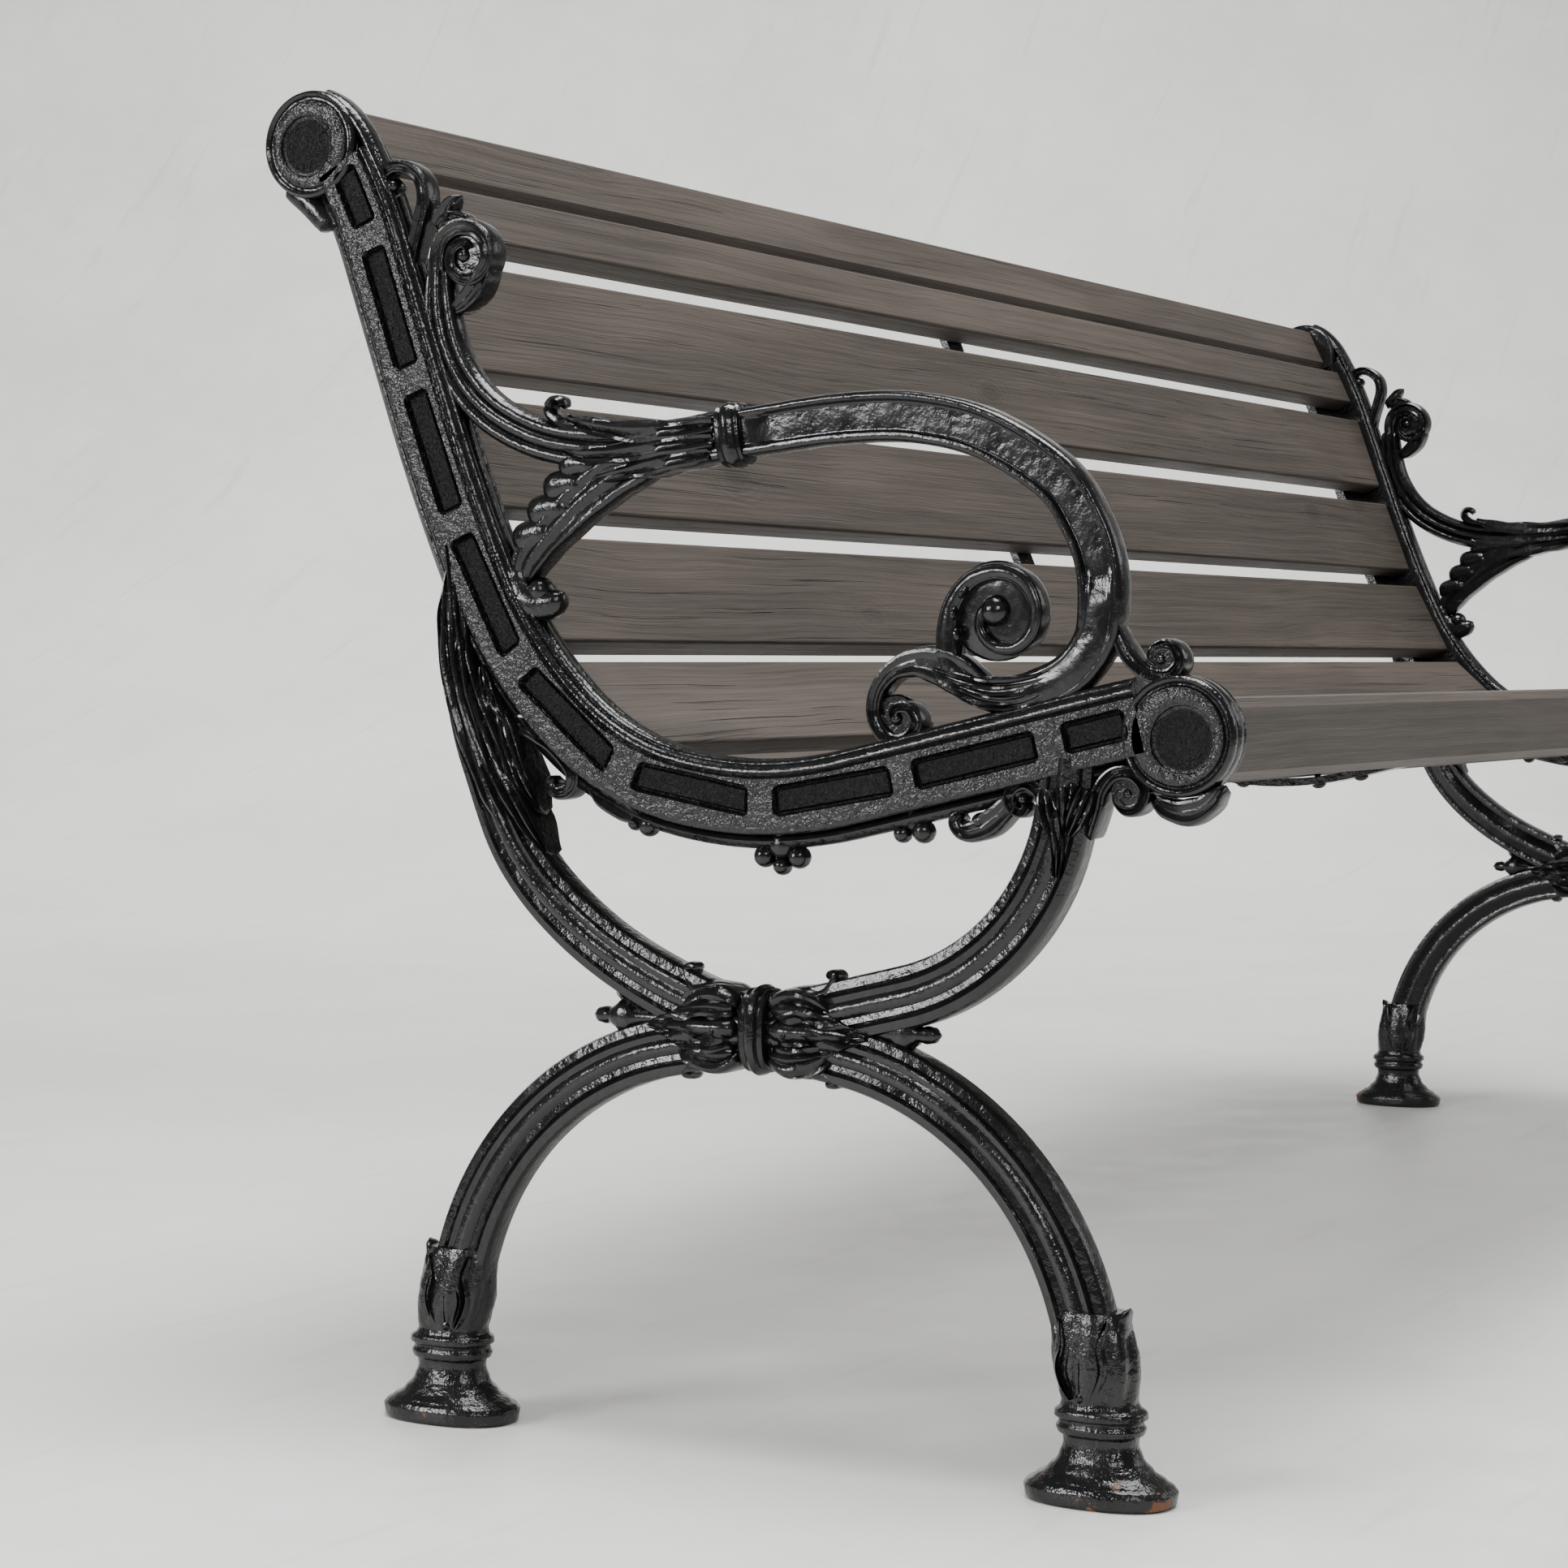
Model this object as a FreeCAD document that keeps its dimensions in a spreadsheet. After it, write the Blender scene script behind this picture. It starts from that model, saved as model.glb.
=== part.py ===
import FreeCAD, Part
import math
import os

# Garden bench: two cast-iron ends joined by eleven boards and a flat-iron strap.
# X runs along the seat, -Y is the front, +Z is up; the origin is on the ground under the middle.

Vector = FreeCAD.Vector

doc = FreeCAD.newDocument("garden_bench")
sheet = doc.addObject("Spreadsheet::Sheet", "Sizes")

sizes = {
    "casting_spacing": 1810,   # between the mid-planes of the two ends
    "band_thickness": 23,      # of the curved band that holds the boards
    "leg_thickness": 26,
    "arm_thickness": 19,       # of the arm, its brace and the scrolls
    "plate_thickness": 5,      # what is left outside the sockets
    "band_front": 25,          # from the boards' middle line to the front of the band
    "band_back": 19.5,         # and to its back
    "ledge_front": 7,          # the ledge starts this far behind the middle line
    "ledge_reach": 57,         # how far the ledge runs in behind the boards
    "roll_radius": 34.5,
    "board_width": 76,
    "narrow_width": 37,
    "board_thickness": 21,
    "board_gap": 19,
    "back_start": 3.5,         # along the boards' line, where the first back board begins
    "seat_start": 445,         # and where the first seat board begins
    "board_rounding": 2.5,
    "socket_play": 0.6,
    "window_height": 17,
    "window_extra": 3,         # how much longer than the board's width its window is
    "window_rounding": 3,
    "rail_size": 46,
    "rail_chamfer": 8,         # at the top edge of the seat's front
    "small_chamfer": 5,
    "tenon_diameter": 38,
    "tenon_recess": 3,
    "strap_width": 28,
    "strap_thickness": 6,
    "strap_play": 0.4,
    "strap_offset": -42,       # the strap stands a little off the middle
    "screw_diameter": 5,
    "screw_depth": 14,
    "head_diameter": 11,
    "head_height": 3.5,
    "screw_inset": 20,         # from the edge of a wide board
    "foot_spread": 218.5,      # from the middle of the legs to each foot
    "legs_middle": -31,
    "leg_width": 36,
    "node_height": 253,
    "arm_width": 29,
    "brace_width": 25,
}
for row, (alias, value) in enumerate(sizes.items(), start=1):
    sheet.set("A%d" % row, alias)
    sheet.set("B%d" % row, str(value))
    sheet.setAlias("B%d" % row, alias)
doc.recompute()


def size(alias):
    return float(sheet.get(alias))


def bind(feature, prop, expression):
    feature.setExpression(prop, expression)


# ---------------------------------------------------------------- plane geometry

def direction(degrees):
    return Vector(math.cos(math.radians(degrees)), math.sin(math.radians(degrees)), 0)


def leftOf(degrees):
    return direction(degrees + 90)


def step(point, heading, length, turn):
    """Where a run of this length ends when its heading turns by this many degrees."""
    if turn == 0:
        return point + direction(heading) * length, heading
    radius = length / math.radians(turn)
    centre = point + leftOf(heading) * radius
    return centre - leftOf(heading + turn) * radius, heading + turn


def pointAt(path, station):
    """The point and heading at a distance along a path of runs and arcs."""
    point, heading = path["start"], path["heading"]
    for length, turn in path["runs"]:
        if station <= length:
            share = station / length
            return step(point, heading, station, turn * share)
        point, heading = step(point, heading, length, turn)
        station -= length
    return step(point, heading, station, 0)


def sideEdges(path, offset):
    """The path moved to its left by offset, as lines and arcs."""
    edges = []
    point, heading = path["start"], path["heading"]
    for length, turn in path["runs"]:
        middle, middleHeading = step(point, heading, length / 2, turn / 2)
        end, endHeading = step(point, heading, length, turn)
        first = point + leftOf(heading) * offset
        last = end + leftOf(endHeading) * offset
        if turn == 0:
            edges.append(Part.LineSegment(first, last))
        else:
            edges.append(Part.Arc(first, middle + leftOf(middleHeading) * offset, last))
        point, heading = end, endHeading
    return edges


def strip(path, left, right):
    """A closed outline that follows the path from offset right to offset left."""
    start, heading = path["start"], path["heading"]
    end, endHeading = pointAt(path, sum(length for length, turn in path["runs"]))
    cap = Part.LineSegment(start + leftOf(heading) * left, start + leftOf(heading) * right)
    endCap = Part.LineSegment(end + leftOf(endHeading) * left, end + leftOf(endHeading) * right)
    return sideEdges(path, left) + sideEdges(path, right) + [cap, endCap]


def box(centre, heading, length, height):
    """A rectangle centred on a point and turned to a heading."""
    along = direction(heading) * (length / 2)
    across = leftOf(heading) * (height / 2)
    corners = [centre - along - across, centre + along - across,
               centre + along + across, centre - along + across]
    return [Part.LineSegment(corners[i], corners[(i + 1) % 4]) for i in range(4)]


def slot(centre, heading, length, height, radius):
    """The same rectangle with rounded corners."""
    edges = []
    signs = [(-1, -1), (1, -1), (1, 1), (-1, 1)]
    along, across = direction(heading), leftOf(heading)
    for i, (a, c) in enumerate(signs):
        nextA, nextC = signs[(i + 1) % 4]
        middle = centre + along * (a * (length / 2 - radius)) + across * (c * (height / 2 - radius))
        nextMiddle = (centre + along * (nextA * (length / 2 - radius))
                      + across * (nextC * (height / 2 - radius)))
        out = across * c if a != nextA else along * a
        into = along * a if a != nextA else across * c
        slant = (out + into).normalize()
        edges.append(Part.Arc(middle + into * radius, middle + slant * radius, middle + out * radius))
        edges.append(Part.LineSegment(middle + out * radius, nextMiddle + out * radius))
    return edges


def circle(centre, radius):
    return [Part.Circle(centre, Vector(0, 0, 1), radius)]


def mirrored(path, middle):
    """The same path on the other side of the line Y = middle."""
    start = path["start"]
    return {"start": Vector(2 * middle - start.x, start.y, 0), "heading": 180 - path["heading"],
            "runs": [(length, -turn) for length, turn in path["runs"]]}


# ---------------------------------------------------------------- the bench's lines, in Y and Z

# Middle line of the boards, from the top of the back down and forward to the seat's front.
boardLine = {"start": Vector(269.2, 776.8, 0), "heading": -119.3,
             "runs": [(53, 9.6), (108, 0), (118, -5.4), (102, -21.6),
                      (87, -30.1), (120, -26.8), (184, 0)]}
bandLead = 18                  # the band starts this much earlier, inside the top roll
bandLine = {"start": boardLine["start"] - direction(boardLine["heading"]) * bandLead,
            "heading": boardLine["heading"], "runs": [(bandLead, 0)] + boardLine["runs"]}

rollReach = 330.5 - size("roll_radius")
topRoll = Vector(rollReach, 795.5, 0)
frontRoll = Vector(-rollReach, 432, 0)
topRail = Vector(302, 794.5, 0)
frontRail = Vector(-298.5, 430, 0)
topRailHeading = -116

legsMiddle = size("legs_middle")
nodeCentre = Vector(legsMiddle, size("node_height"), 0)
rearUpperLeg = {"start": Vector(190, 548, 0), "heading": -98,
                "runs": [(60, 5.6), (60, -17.3), (60, -5.4), (60, -22.1), (60, -13.8), (70, -10.8),
                         (50, -7.8)]}
frontUpperLeg = {"start": Vector(-229, 418, 0), "heading": -88,
                 "runs": [(42, 11), (146, 63), (102, 0)]}
rearLowerLeg = {"start": Vector(legsMiddle + 212, 84, 0), "heading": 102,
                "runs": [(29, 6), (206, 62), (58, 0)]}
frontLowerLeg = mirrored(rearLowerLeg, legsMiddle)

brace = {"start": Vector(201, 718, 0), "heading": -87,
         "runs": [(25, -6.6), (45, -26.8), (45, -29.3), (55, -22.5), (65, -14.5), (52, 0.2)]}
arm = {"start": Vector(3.8, 604.2, 0), "heading": 172.3,
       "runs": [(70, 1.6), (50, 8.2), (65, 19), (60, 30.2), (60, 35.7), (45, 48.6), (40, 36.5),
                (35, 35.4), (40, 40.4)]}


def boardPlaces():
    """Name, width, middle and heading of each flat board, from the back's top to the seat's front."""
    wide, narrow, gap = size("board_width"), size("narrow_width"), size("board_gap")
    names = ["back_slat_%d" % n for n in range(1, 6)] + ["seat_slat_%d" % n for n in range(1, 5)]
    places = []
    station = size("back_start")
    for name in names:
        if name == "seat_slat_1":
            station = size("seat_start")
        isNarrow = name in ("back_slat_1", "seat_slat_4")
        width = narrow if isNarrow else wide
        first, heading = pointAt(boardLine, station)
        last, heading = pointAt(boardLine, station + width)
        chord = last - first
        heading = math.degrees(math.atan2(chord.y, chord.x))
        places.append({"name": name, "narrow": isNarrow, "width": width, "station": station,
                       "middle": (first + last) / 2, "heading": heading})
        station += width + gap
    return places


boards = boardPlaces()


def screwRows(board):
    """Distances of the screws from a board's middle, across its width."""
    if board["narrow"]:
        return [0]
    reach = board["width"] / 2 - size("screw_inset")
    return [-reach, reach]


# ---------------------------------------------------------------- FreeCAD helpers

def originPlane(body, role):
    return [item for item in body.Origin.OriginFeatures if item.Role == role][0]


def newBody(name):
    body = doc.addObject("PartDesign::Body", name)
    body.Label = name
    return body


def newSketch(body, name, edges, role="YZ_Plane", offset=0):
    sketch = body.newObject("Sketcher::SketchObject", name)
    sketch.AttachmentSupport = [(originPlane(body, role), "")]
    sketch.MapMode = "FlatFace"
    sketch.AttachmentOffset = FreeCAD.Placement(Vector(0, 0, offset), FreeCAD.Rotation())
    sketch.addGeometry(edges, False)
    return sketch


def pad(body, name, edges, length, midplane=True, offset=0, reverse=False, role="YZ_Plane"):
    sketch = newSketch(body, name + "_outline", edges, role, offset)
    feature = body.newObject("PartDesign::Pad", name)
    feature.Profile = sketch
    bind(feature, "Length", length)
    feature.Midplane = midplane
    feature.Reversed = reverse
    return feature


def pocket(body, name, edges, length, offset=0, reverse=False, role="YZ_Plane"):
    sketch = newSketch(body, name + "_outline", edges, role, offset)
    feature = body.newObject("PartDesign::Pocket", name)
    feature.Profile = sketch
    before = body.Shape.Volume
    bind(feature, "Length", length)
    feature.Reversed = reverse
    doc.recompute()
    if not feature.Shape.Volume < before - 1:
        raise RuntimeError(name + " cuts nothing")
    return feature


def loft(body, name, sections):
    """A loft through ellipses given as height, middle and half sizes across Y and X."""
    sketches = []
    for number, (height, middle, halfY, halfX) in enumerate(sections):
        ellipse = Part.Ellipse(Vector(0, middle + halfY, 0), Vector(halfX, middle, 0), Vector(0, middle, 0))
        sketches.append(newSketch(body, "%s_section_%d" % (name, number), [ellipse], "XY_Plane", height))
    feature = body.newObject("PartDesign::AdditiveLoft", name)
    feature.Profile = sketches[0]
    feature.Sections = sketches[1:]
    feature.Ruled = True
    return feature


# ---------------------------------------------------------------- end castings

def footSections(middle, lean):
    """Spreading base, neck, ring and bulb; the bulb leans towards the legs' middle."""
    shape = [(0, 43, 27), (7, 45, 29), (12, 41, 27), (24, 27, 20), (35, 21, 16), (42, 24, 18),
             (48, 27, 20), (54, 24, 18), (62, 25, 18), (76, 27, 19), (90, 25, 18), (106, 21, 16)]
    return [(height, middle + lean * max(height - 50, 0), halfY, halfX) for height, halfY, halfX in shape]


def endCasting(name, side):
    """One iron end: side is -1 at the left (-X) and +1 at the right."""
    body = newBody(name)
    band, leg, plate = "Sizes.band_thickness", "Sizes.leg_thickness", "Sizes.plate_thickness"
    thin = "Sizes.arm_thickness"
    rollRadius = size("roll_radius")
    halfBand = size("band_thickness") / 2

    pad(body, "band", strip(bandLine, -size("band_front"), size("band_back")), band)
    pad(body, "rolls", circle(topRoll, rollRadius) + circle(frontRoll, rollRadius), band)
    reach = size("ledge_reach")
    pad(body, "ledge", strip(boardLine, size("ledge_front"), size("band_back")), "Sizes.ledge_reach + 1",
        midplane=False, offset=-side * (halfBand - 1), reverse=side > 0)

    half = size("leg_width") / 2
    pad(body, "rear_upper_leg", strip(rearUpperLeg, half, -half), leg)
    pad(body, "front_upper_leg", strip(frontUpperLeg, half, -half), leg)
    pad(body, "rear_lower_leg", strip(rearLowerLeg, half, -half), leg)
    pad(body, "front_lower_leg", strip(frontLowerLeg, half, -half), leg)
    nodeShape = [Part.Ellipse(nodeCentre + Vector(66, 0, 0), nodeCentre + Vector(0, 27, 0), nodeCentre)]
    pad(body, "crossing", nodeShape, "Sizes.leg_thickness + 4")
    buds = slot(nodeCentre, 0, 236, 13, 6)
    pad(body, "buds", buds, "Sizes.leg_thickness - 12")

    braceHalf = size("brace_width") / 2
    armHalf = size("arm_width") / 2
    pad(body, "brace", strip(brace, braceHalf, -braceHalf), thin)
    pad(body, "arm", strip(arm, armHalf, -armHalf), thin)
    # leaf that joins arm and brace and reaches down to the band
    leaf = {"start": Vector(46, 596, 0), "heading": -5, "runs": [(62, -32), (60, -18)]}
    pad(body, "arm_leaf", strip(leaf, 11, -11), thin)
    pad(body, "volutes", circle(Vector(-182, 501, 0), 33) + circle(Vector(-113, 437.5, 0), 18)
        + circle(Vector(-277, 472, 0), 14), thin)
    pad(body, "volute_leaf", slot(Vector(-140, 457, 0), -12, 74, 18, 8), thin)
    pad(body, "back_scrolls", circle(Vector(236, 770, 0), 16) + circle(Vector(187, 724, 0), 24), thin)
    pad(body, "back_scroll_link", slot(Vector(218, 742, 0), -45, 50, 22, 10), thin)
    hook = {"start": Vector(174, 432, 0), "heading": 185, "runs": [(36, 25), (26, 50)]}
    pad(body, "under_hook", strip(hook, 6, -6), thin)
    pad(body, "under_scroll", circle(Vector(-257, 400, 0), 15) + circle(Vector(120, 402, 0), 9), thin)
    pad(body, "under_drops", circle(Vector(-36, 362, 0), 13) + circle(Vector(54, 376, 0), 8)
        + circle(Vector(-123, 381, 0), 8) + circle(Vector(-165, 388, 0), 14), thin)

    doc.recompute()
    for label, centre, lean in (("rear_foot", legsMiddle + size("foot_spread"), -0.12),
                                ("front_foot", legsMiddle - size("foot_spread"), 0.12)):
        loft(body, label, footSections(centre, lean))
    doc.recompute()

    play = size("socket_play")
    sockets = []
    windows = []
    for board in boards:
        sockets += box(board["middle"], board["heading"], board["width"] + play,
                       size("board_thickness") + play)
        windows += slot(board["middle"], board["heading"], board["width"] + size("window_extra"),
                        size("window_height"), size("window_rounding"))
    pocket(body, "sockets", sockets, "Sizes.band_thickness + Sizes.ledge_reach - Sizes.plate_thickness",
           offset=-side * (halfBand + reach), reverse=side > 0)
    pocket(body, "windows", windows, plate + " + 1", offset=side * halfBand, reverse=side < 0)
    tenonRadius = (size("tenon_diameter") + play) / 2
    pocket(body, "tenon_holes", circle(topRail, tenonRadius) + circle(frontRail, tenonRadius), band,
           offset=side * halfBand, reverse=side < 0)

    for board in boards:
        for number, row in enumerate(screwRows(board)):
            hole = body.newObject("PartDesign::SubtractiveCylinder", "hole_%s_%d" % (board["name"], number))
            bind(hole, "Radius", "Sizes.screw_diameter / 2 + 0.1")
            hole.Height = 40
            hole.MapMode = "Deactivated"
            place = screwPlace(board, row, 0)
            place.move(Vector(-side * (halfBand + reach / 2), 0, 0))
            hole.Placement = place
    body.Placement = FreeCAD.Placement(Vector(side * size("casting_spacing") / 2, 0, 0), FreeCAD.Rotation())
    doc.recompute()
    return body


# ---------------------------------------------------------------- boards

def boardRotation(heading):
    """Turns a board so that its width runs along the heading and its face looks forward and up."""
    along, up = direction(heading), leftOf(heading) * -1
    axisX = Vector(1, 0, 0)
    axisY = Vector(0, along.x, along.y)
    axisZ = Vector(0, up.x, up.y)
    if axisX.cross(axisY).dot(axisZ) < 0:
        axisY = axisY * -1
    return FreeCAD.Rotation(axisX, axisY, axisZ)


def screwPlace(board, row, lift):
    """A frame on a board's middle line, its Z axis through the board from back to front."""
    along = direction(board["heading"])
    point = board["middle"] + along * row + leftOf(board["heading"]) * -lift
    down = boardRotation(board["heading"])
    place = FreeCAD.Placement(Vector(0, point.x, point.y), down)
    return place.multiply(FreeCAD.Placement(Vector(0, 0, -40), FreeCAD.Rotation()))


def slat(board):
    """A flat board with eased long edges and blind screw holes in its back."""
    body = newBody(board["name"])
    thickness = size("board_thickness")
    outline = slot(Vector(0, 0, 0), 0, board["width"], thickness, size("board_rounding"))
    pad(body, "plank", outline, "Sizes.casting_spacing + Sizes.band_thickness - 2 * Sizes.plate_thickness")
    doc.recompute()
    ends = size("casting_spacing") / 2 - size("band_thickness") / 2 - size("ledge_reach") / 2
    holes = []
    for x in (-ends, size("strap_offset"), ends):
        for row in screwRows(board):
            holes += circle(Vector(x, row, 0), size("screw_diameter") / 2)
    pocket(body, "screw_holes", holes, "Sizes.screw_depth", offset=-thickness / 2, reverse=True,
           role="XY_Plane")
    middle = board["middle"]
    body.Placement = FreeCAD.Placement(Vector(0, middle.x, middle.y), boardRotation(board["heading"]))
    return body


def rail(name, centre, heading, cut):
    """A square rail with cut-off corners and a round tenon at each end."""
    body = newBody(name)
    half = size("rail_size") / 2
    small = size("small_chamfer")
    corners = [(half - cut, half), (-half + small, half), (-half, half - small), (-half, -half + small),
               (-half + small, -half), (half - small, -half), (half, -half + small), (half, half - cut)]
    points = [Vector(y, z, 0) for y, z in corners]
    outline = [Part.LineSegment(points[i], points[(i + 1) % 8]) for i in range(8)]
    pad(body, "square", outline, "Sizes.casting_spacing - Sizes.band_thickness")
    tenon = circle(Vector(0, 0, 0), size("tenon_diameter") / 2)
    pad(body, "tenons", tenon, "Sizes.casting_spacing + Sizes.band_thickness - 2 * Sizes.tenon_recess")
    body.Placement = FreeCAD.Placement(Vector(0, centre.x, centre.y), boardRotation(heading))
    return body


# ---------------------------------------------------------------- strap and screws

def strap():
    """A flat iron bent along the backs of the boards, with a hole for each screw."""
    body = newBody("centre_strap")
    near = size("board_thickness") / 2 + size("strap_play")
    far = near + size("strap_thickness")
    runs = boardLine["runs"]
    heading = boardLine["heading"]
    extra = 7
    line = {"start": boardLine["start"] - direction(heading) * extra, "heading": heading,
            "runs": [(extra, 0)] + runs[:-1] + [(runs[-1][0] - 4, 0)]}
    pad(body, "flat", strip(line, near, far), "Sizes.strap_width")
    doc.recompute()
    for board in boards:
        for number, row in enumerate(screwRows(board)):
            hole = body.newObject("PartDesign::SubtractiveCylinder", "hole_%s_%d" % (board["name"], number))
            bind(hole, "Radius", "Sizes.screw_diameter / 2 + 0.1")
            hole.Height = 40
            hole.MapMode = "Deactivated"
            hole.Placement = screwPlace(board, row, 0)
    body.Placement = FreeCAD.Placement(Vector(size("strap_offset"), 0, 0), FreeCAD.Rotation())
    return body


def screwBody():
    """One round-headed screw, its head's seat at the origin and its point along +Z."""
    body = newBody("screw_pattern")
    headRadius, headHeight = size("head_diameter") / 2, size("head_height")
    shank = size("screw_diameter") / 2
    rim = headHeight * 0.35
    length = size("strap_thickness") + size("screw_depth")
    dome = Part.Arc(Vector(0, -headHeight, 0), Vector(headRadius * 0.62, -headHeight * 0.8, 0),
                    Vector(headRadius, -rim, 0))
    corners = [Vector(headRadius, -rim, 0), Vector(headRadius, 0, 0), Vector(shank, 0, 0),
               Vector(shank, length - shank, 0), Vector(0, length, 0), Vector(0, -headHeight, 0)]
    lines = [Part.LineSegment(corners[i], corners[i + 1]) for i in range(5)]
    sketch = newSketch(body, "screw_outline", [dome] + lines, "XZ_Plane")
    feature = body.newObject("PartDesign::Revolution", "screw_turned")
    feature.Profile = sketch
    feature.ReferenceAxis = (sketch, ["V_Axis"])
    feature.Angle = 360
    doc.recompute()
    return body


def screwGroup(name, x, seat):
    """All screws of one row of holes, each a solid of its own, heads on a seat behind the boards."""
    solids = []
    for board in boards:
        for row in screwRows(board):
            station = board["station"] + board["width"] / 2 + row
            point, heading = pointAt(boardLine, station)
            behind = (point + leftOf(heading) * seat - board["middle"]).dot(leftOf(board["heading"]))
            place = screwPlace(board, row, 0).multiply(FreeCAD.Placement(Vector(0, 0, 40 - behind),
                                                                         FreeCAD.Rotation()))
            place.move(Vector(x, 0, 0))
            solid = screwPattern.Shape.copy()
            solid.Placement = place.multiply(solid.Placement)
            solids.append(solid)
    group = doc.addObject("Part::Feature", name)
    group.Label = name
    group.Shape = Part.makeCompound(solids)
    return group


def main():
    endCasting("end_casting_left", -1)
    endCasting("end_casting_right", 1)
    for board in boards:
        slat(board)
    rail("top_rail", topRail, topRailHeading, size("small_chamfer"))
    rail("front_rail", frontRail, 180, size("rail_chamfer"))
    strap()
    strapBack = size("board_thickness") / 2 + size("strap_play") + size("strap_thickness")
    screwGroup("strap_screws", size("strap_offset"), strapBack)
    ledge = size("casting_spacing") / 2 - size("band_thickness") / 2 - size("ledge_reach") / 2
    screwGroup("ledge_screws_left", -ledge, size("band_back"))
    screwGroup("ledge_screws_right", ledge, size("band_back"))
    doc.recompute()


def subParts():
    """Every piece that gets a file: the bodies except the pattern screw, and the screw groups."""
    bodies = [item for item in doc.Objects if item.TypeId == "PartDesign::Body" and item is not screwPattern]
    return bodies + [item for item in doc.Objects if item.TypeId == "Part::Feature"]


def checkAndWrite():
    for item in doc.Objects:
        if "Invalid" in item.State or "Error" in item.State:
            raise RuntimeError("%s failed: %s" % (item.Label, item.State))
    os.makedirs("parts", exist_ok=True)
    for item in subParts():
        shape = item.Shape
        if shape.isNull() or not shape.isValid():
            raise RuntimeError(item.Label + " has no valid shape")
        if item.TypeId == "PartDesign::Body" and len(shape.Solids) != 1:
            raise RuntimeError("%s is %d solids" % (item.Label, len(shape.Solids)))
        shape.exportStep("parts/%s.step" % item.Label)
        print("%-20s %3d solid(s) %9.0f mm3" % (item.Label, len(shape.Solids), shape.Volume))


screwPattern = screwBody()
main()
checkAndWrite()
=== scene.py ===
import bpy
import math
import numpy as np
from mathutils import Matrix, Vector


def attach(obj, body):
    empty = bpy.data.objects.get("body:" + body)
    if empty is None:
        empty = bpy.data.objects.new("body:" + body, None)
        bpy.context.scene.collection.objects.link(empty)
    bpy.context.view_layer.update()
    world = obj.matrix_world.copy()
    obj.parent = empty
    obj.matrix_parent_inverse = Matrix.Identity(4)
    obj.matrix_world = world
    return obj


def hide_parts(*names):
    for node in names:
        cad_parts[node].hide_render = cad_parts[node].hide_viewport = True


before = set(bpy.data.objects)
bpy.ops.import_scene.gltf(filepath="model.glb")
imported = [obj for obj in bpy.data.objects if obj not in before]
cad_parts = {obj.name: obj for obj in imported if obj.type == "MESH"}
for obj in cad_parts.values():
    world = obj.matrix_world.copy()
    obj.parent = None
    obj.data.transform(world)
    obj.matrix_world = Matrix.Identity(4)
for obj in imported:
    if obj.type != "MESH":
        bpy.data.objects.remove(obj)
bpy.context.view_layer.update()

# Garden bench. Lengths in the settings are millimetres in the bench's side plane:
# y runs from the front (-) to the back (+), z is up, out points away from the seat.


# Lines in the side plane

def lineFromRuns(start, heading, runs, spacing=7.0):
    # heading turns evenly along each run, and the point is the running sum of its direction
    lengths = np.array([run[0] for run in runs], float)
    turns = np.radians([run[1] for run in runs])
    knots = np.concatenate([[0], np.cumsum(lengths)])
    angles = math.radians(heading) + np.concatenate([[0], np.cumsum(turns)])
    fine = np.linspace(0, knots[-1], int(knots[-1] * 4) + 2)
    middle = np.interp((fine[1:] + fine[:-1]) / 2, knots, angles)
    gap = np.diff(fine)
    y = start[0] + np.concatenate([[0], np.cumsum(np.cos(middle) * gap)])
    z = start[1] + np.concatenate([[0], np.cumsum(np.sin(middle) * gap)])
    station = np.linspace(0, knots[-1], max(int(knots[-1] / spacing), 6))
    return makeLine(np.interp(station, fine, y), np.interp(station, fine, z), station,
                    np.interp(station, knots, angles))


def lineThrough(points, spacing=2.0):
    # smooth curve through the points: each span blends the neighbours' chords (Catmull-Rom)
    p = np.array(points, float)
    p = np.vstack([2 * p[0] - p[1], p, 2 * p[-1] - p[-2]])
    t = np.linspace(0, 1, 24, endpoint=False)[None, :, None]
    a, b, c, d = p[:-3, None], p[1:-2, None], p[2:-1, None], p[3:, None]
    spans = 0.5 * (2 * b + (c - a) * t + (2 * a - 5 * b + 4 * c - d) * t ** 2
                   + (3 * b - a - 3 * c + d) * t ** 3)
    dense = np.vstack([spans.reshape(-1, 2), p[-2]])
    along = np.concatenate([[0], np.cumsum(np.hypot(*np.diff(dense, axis=0).T))])
    # points are closer where the line bends: effort grows with the length and with the turning
    moved = np.diff(dense, axis=0)
    turning = np.abs(np.diff(np.unwrap(np.arctan2(moved[:, 1], moved[:, 0])), append=0))
    turning[-1] = 0
    effort = np.concatenate([[0], np.cumsum(np.diff(along) / (2 * spacing) + turning / 0.42)])
    station = np.interp(np.linspace(0, effort[-1], max(int(effort[-1]) + 1, 8)), effort, along)
    y, z = np.interp(station, along, dense[:, 0]), np.interp(station, along, dense[:, 1])
    angle = np.unwrap(np.arctan2(np.gradient(z), np.gradient(y)))
    return makeLine(y, z, station, angle)


def makeLine(y, z, station, angle):
    # station is the length so far, share is station / total, and the normal is the heading turned left
    return {"y": y, "z": z, "station": station, "share": station / station[-1], "angle": angle,
            "normalY": -np.sin(angle), "normalZ": np.cos(angle)}


def mirroredRuns(setting, middle):
    # y becomes 2 * middle - y, the heading 180 - heading, and every turn changes sign
    return {"start": (2 * middle - setting["start"][0], setting["start"][1]),
            "heading": 180 - setting["heading"],
            "runs": [(length, -turn) for length, turn in setting["runs"]]}


def smoothStep(value, low, high):
    # t * t * (3 - 2 * t), with t the share of the way from low to high, kept within 0 and 1
    t = np.clip((value - low) / (high - low), 0, 1)
    return t * t * (3 - 2 * t)


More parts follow.
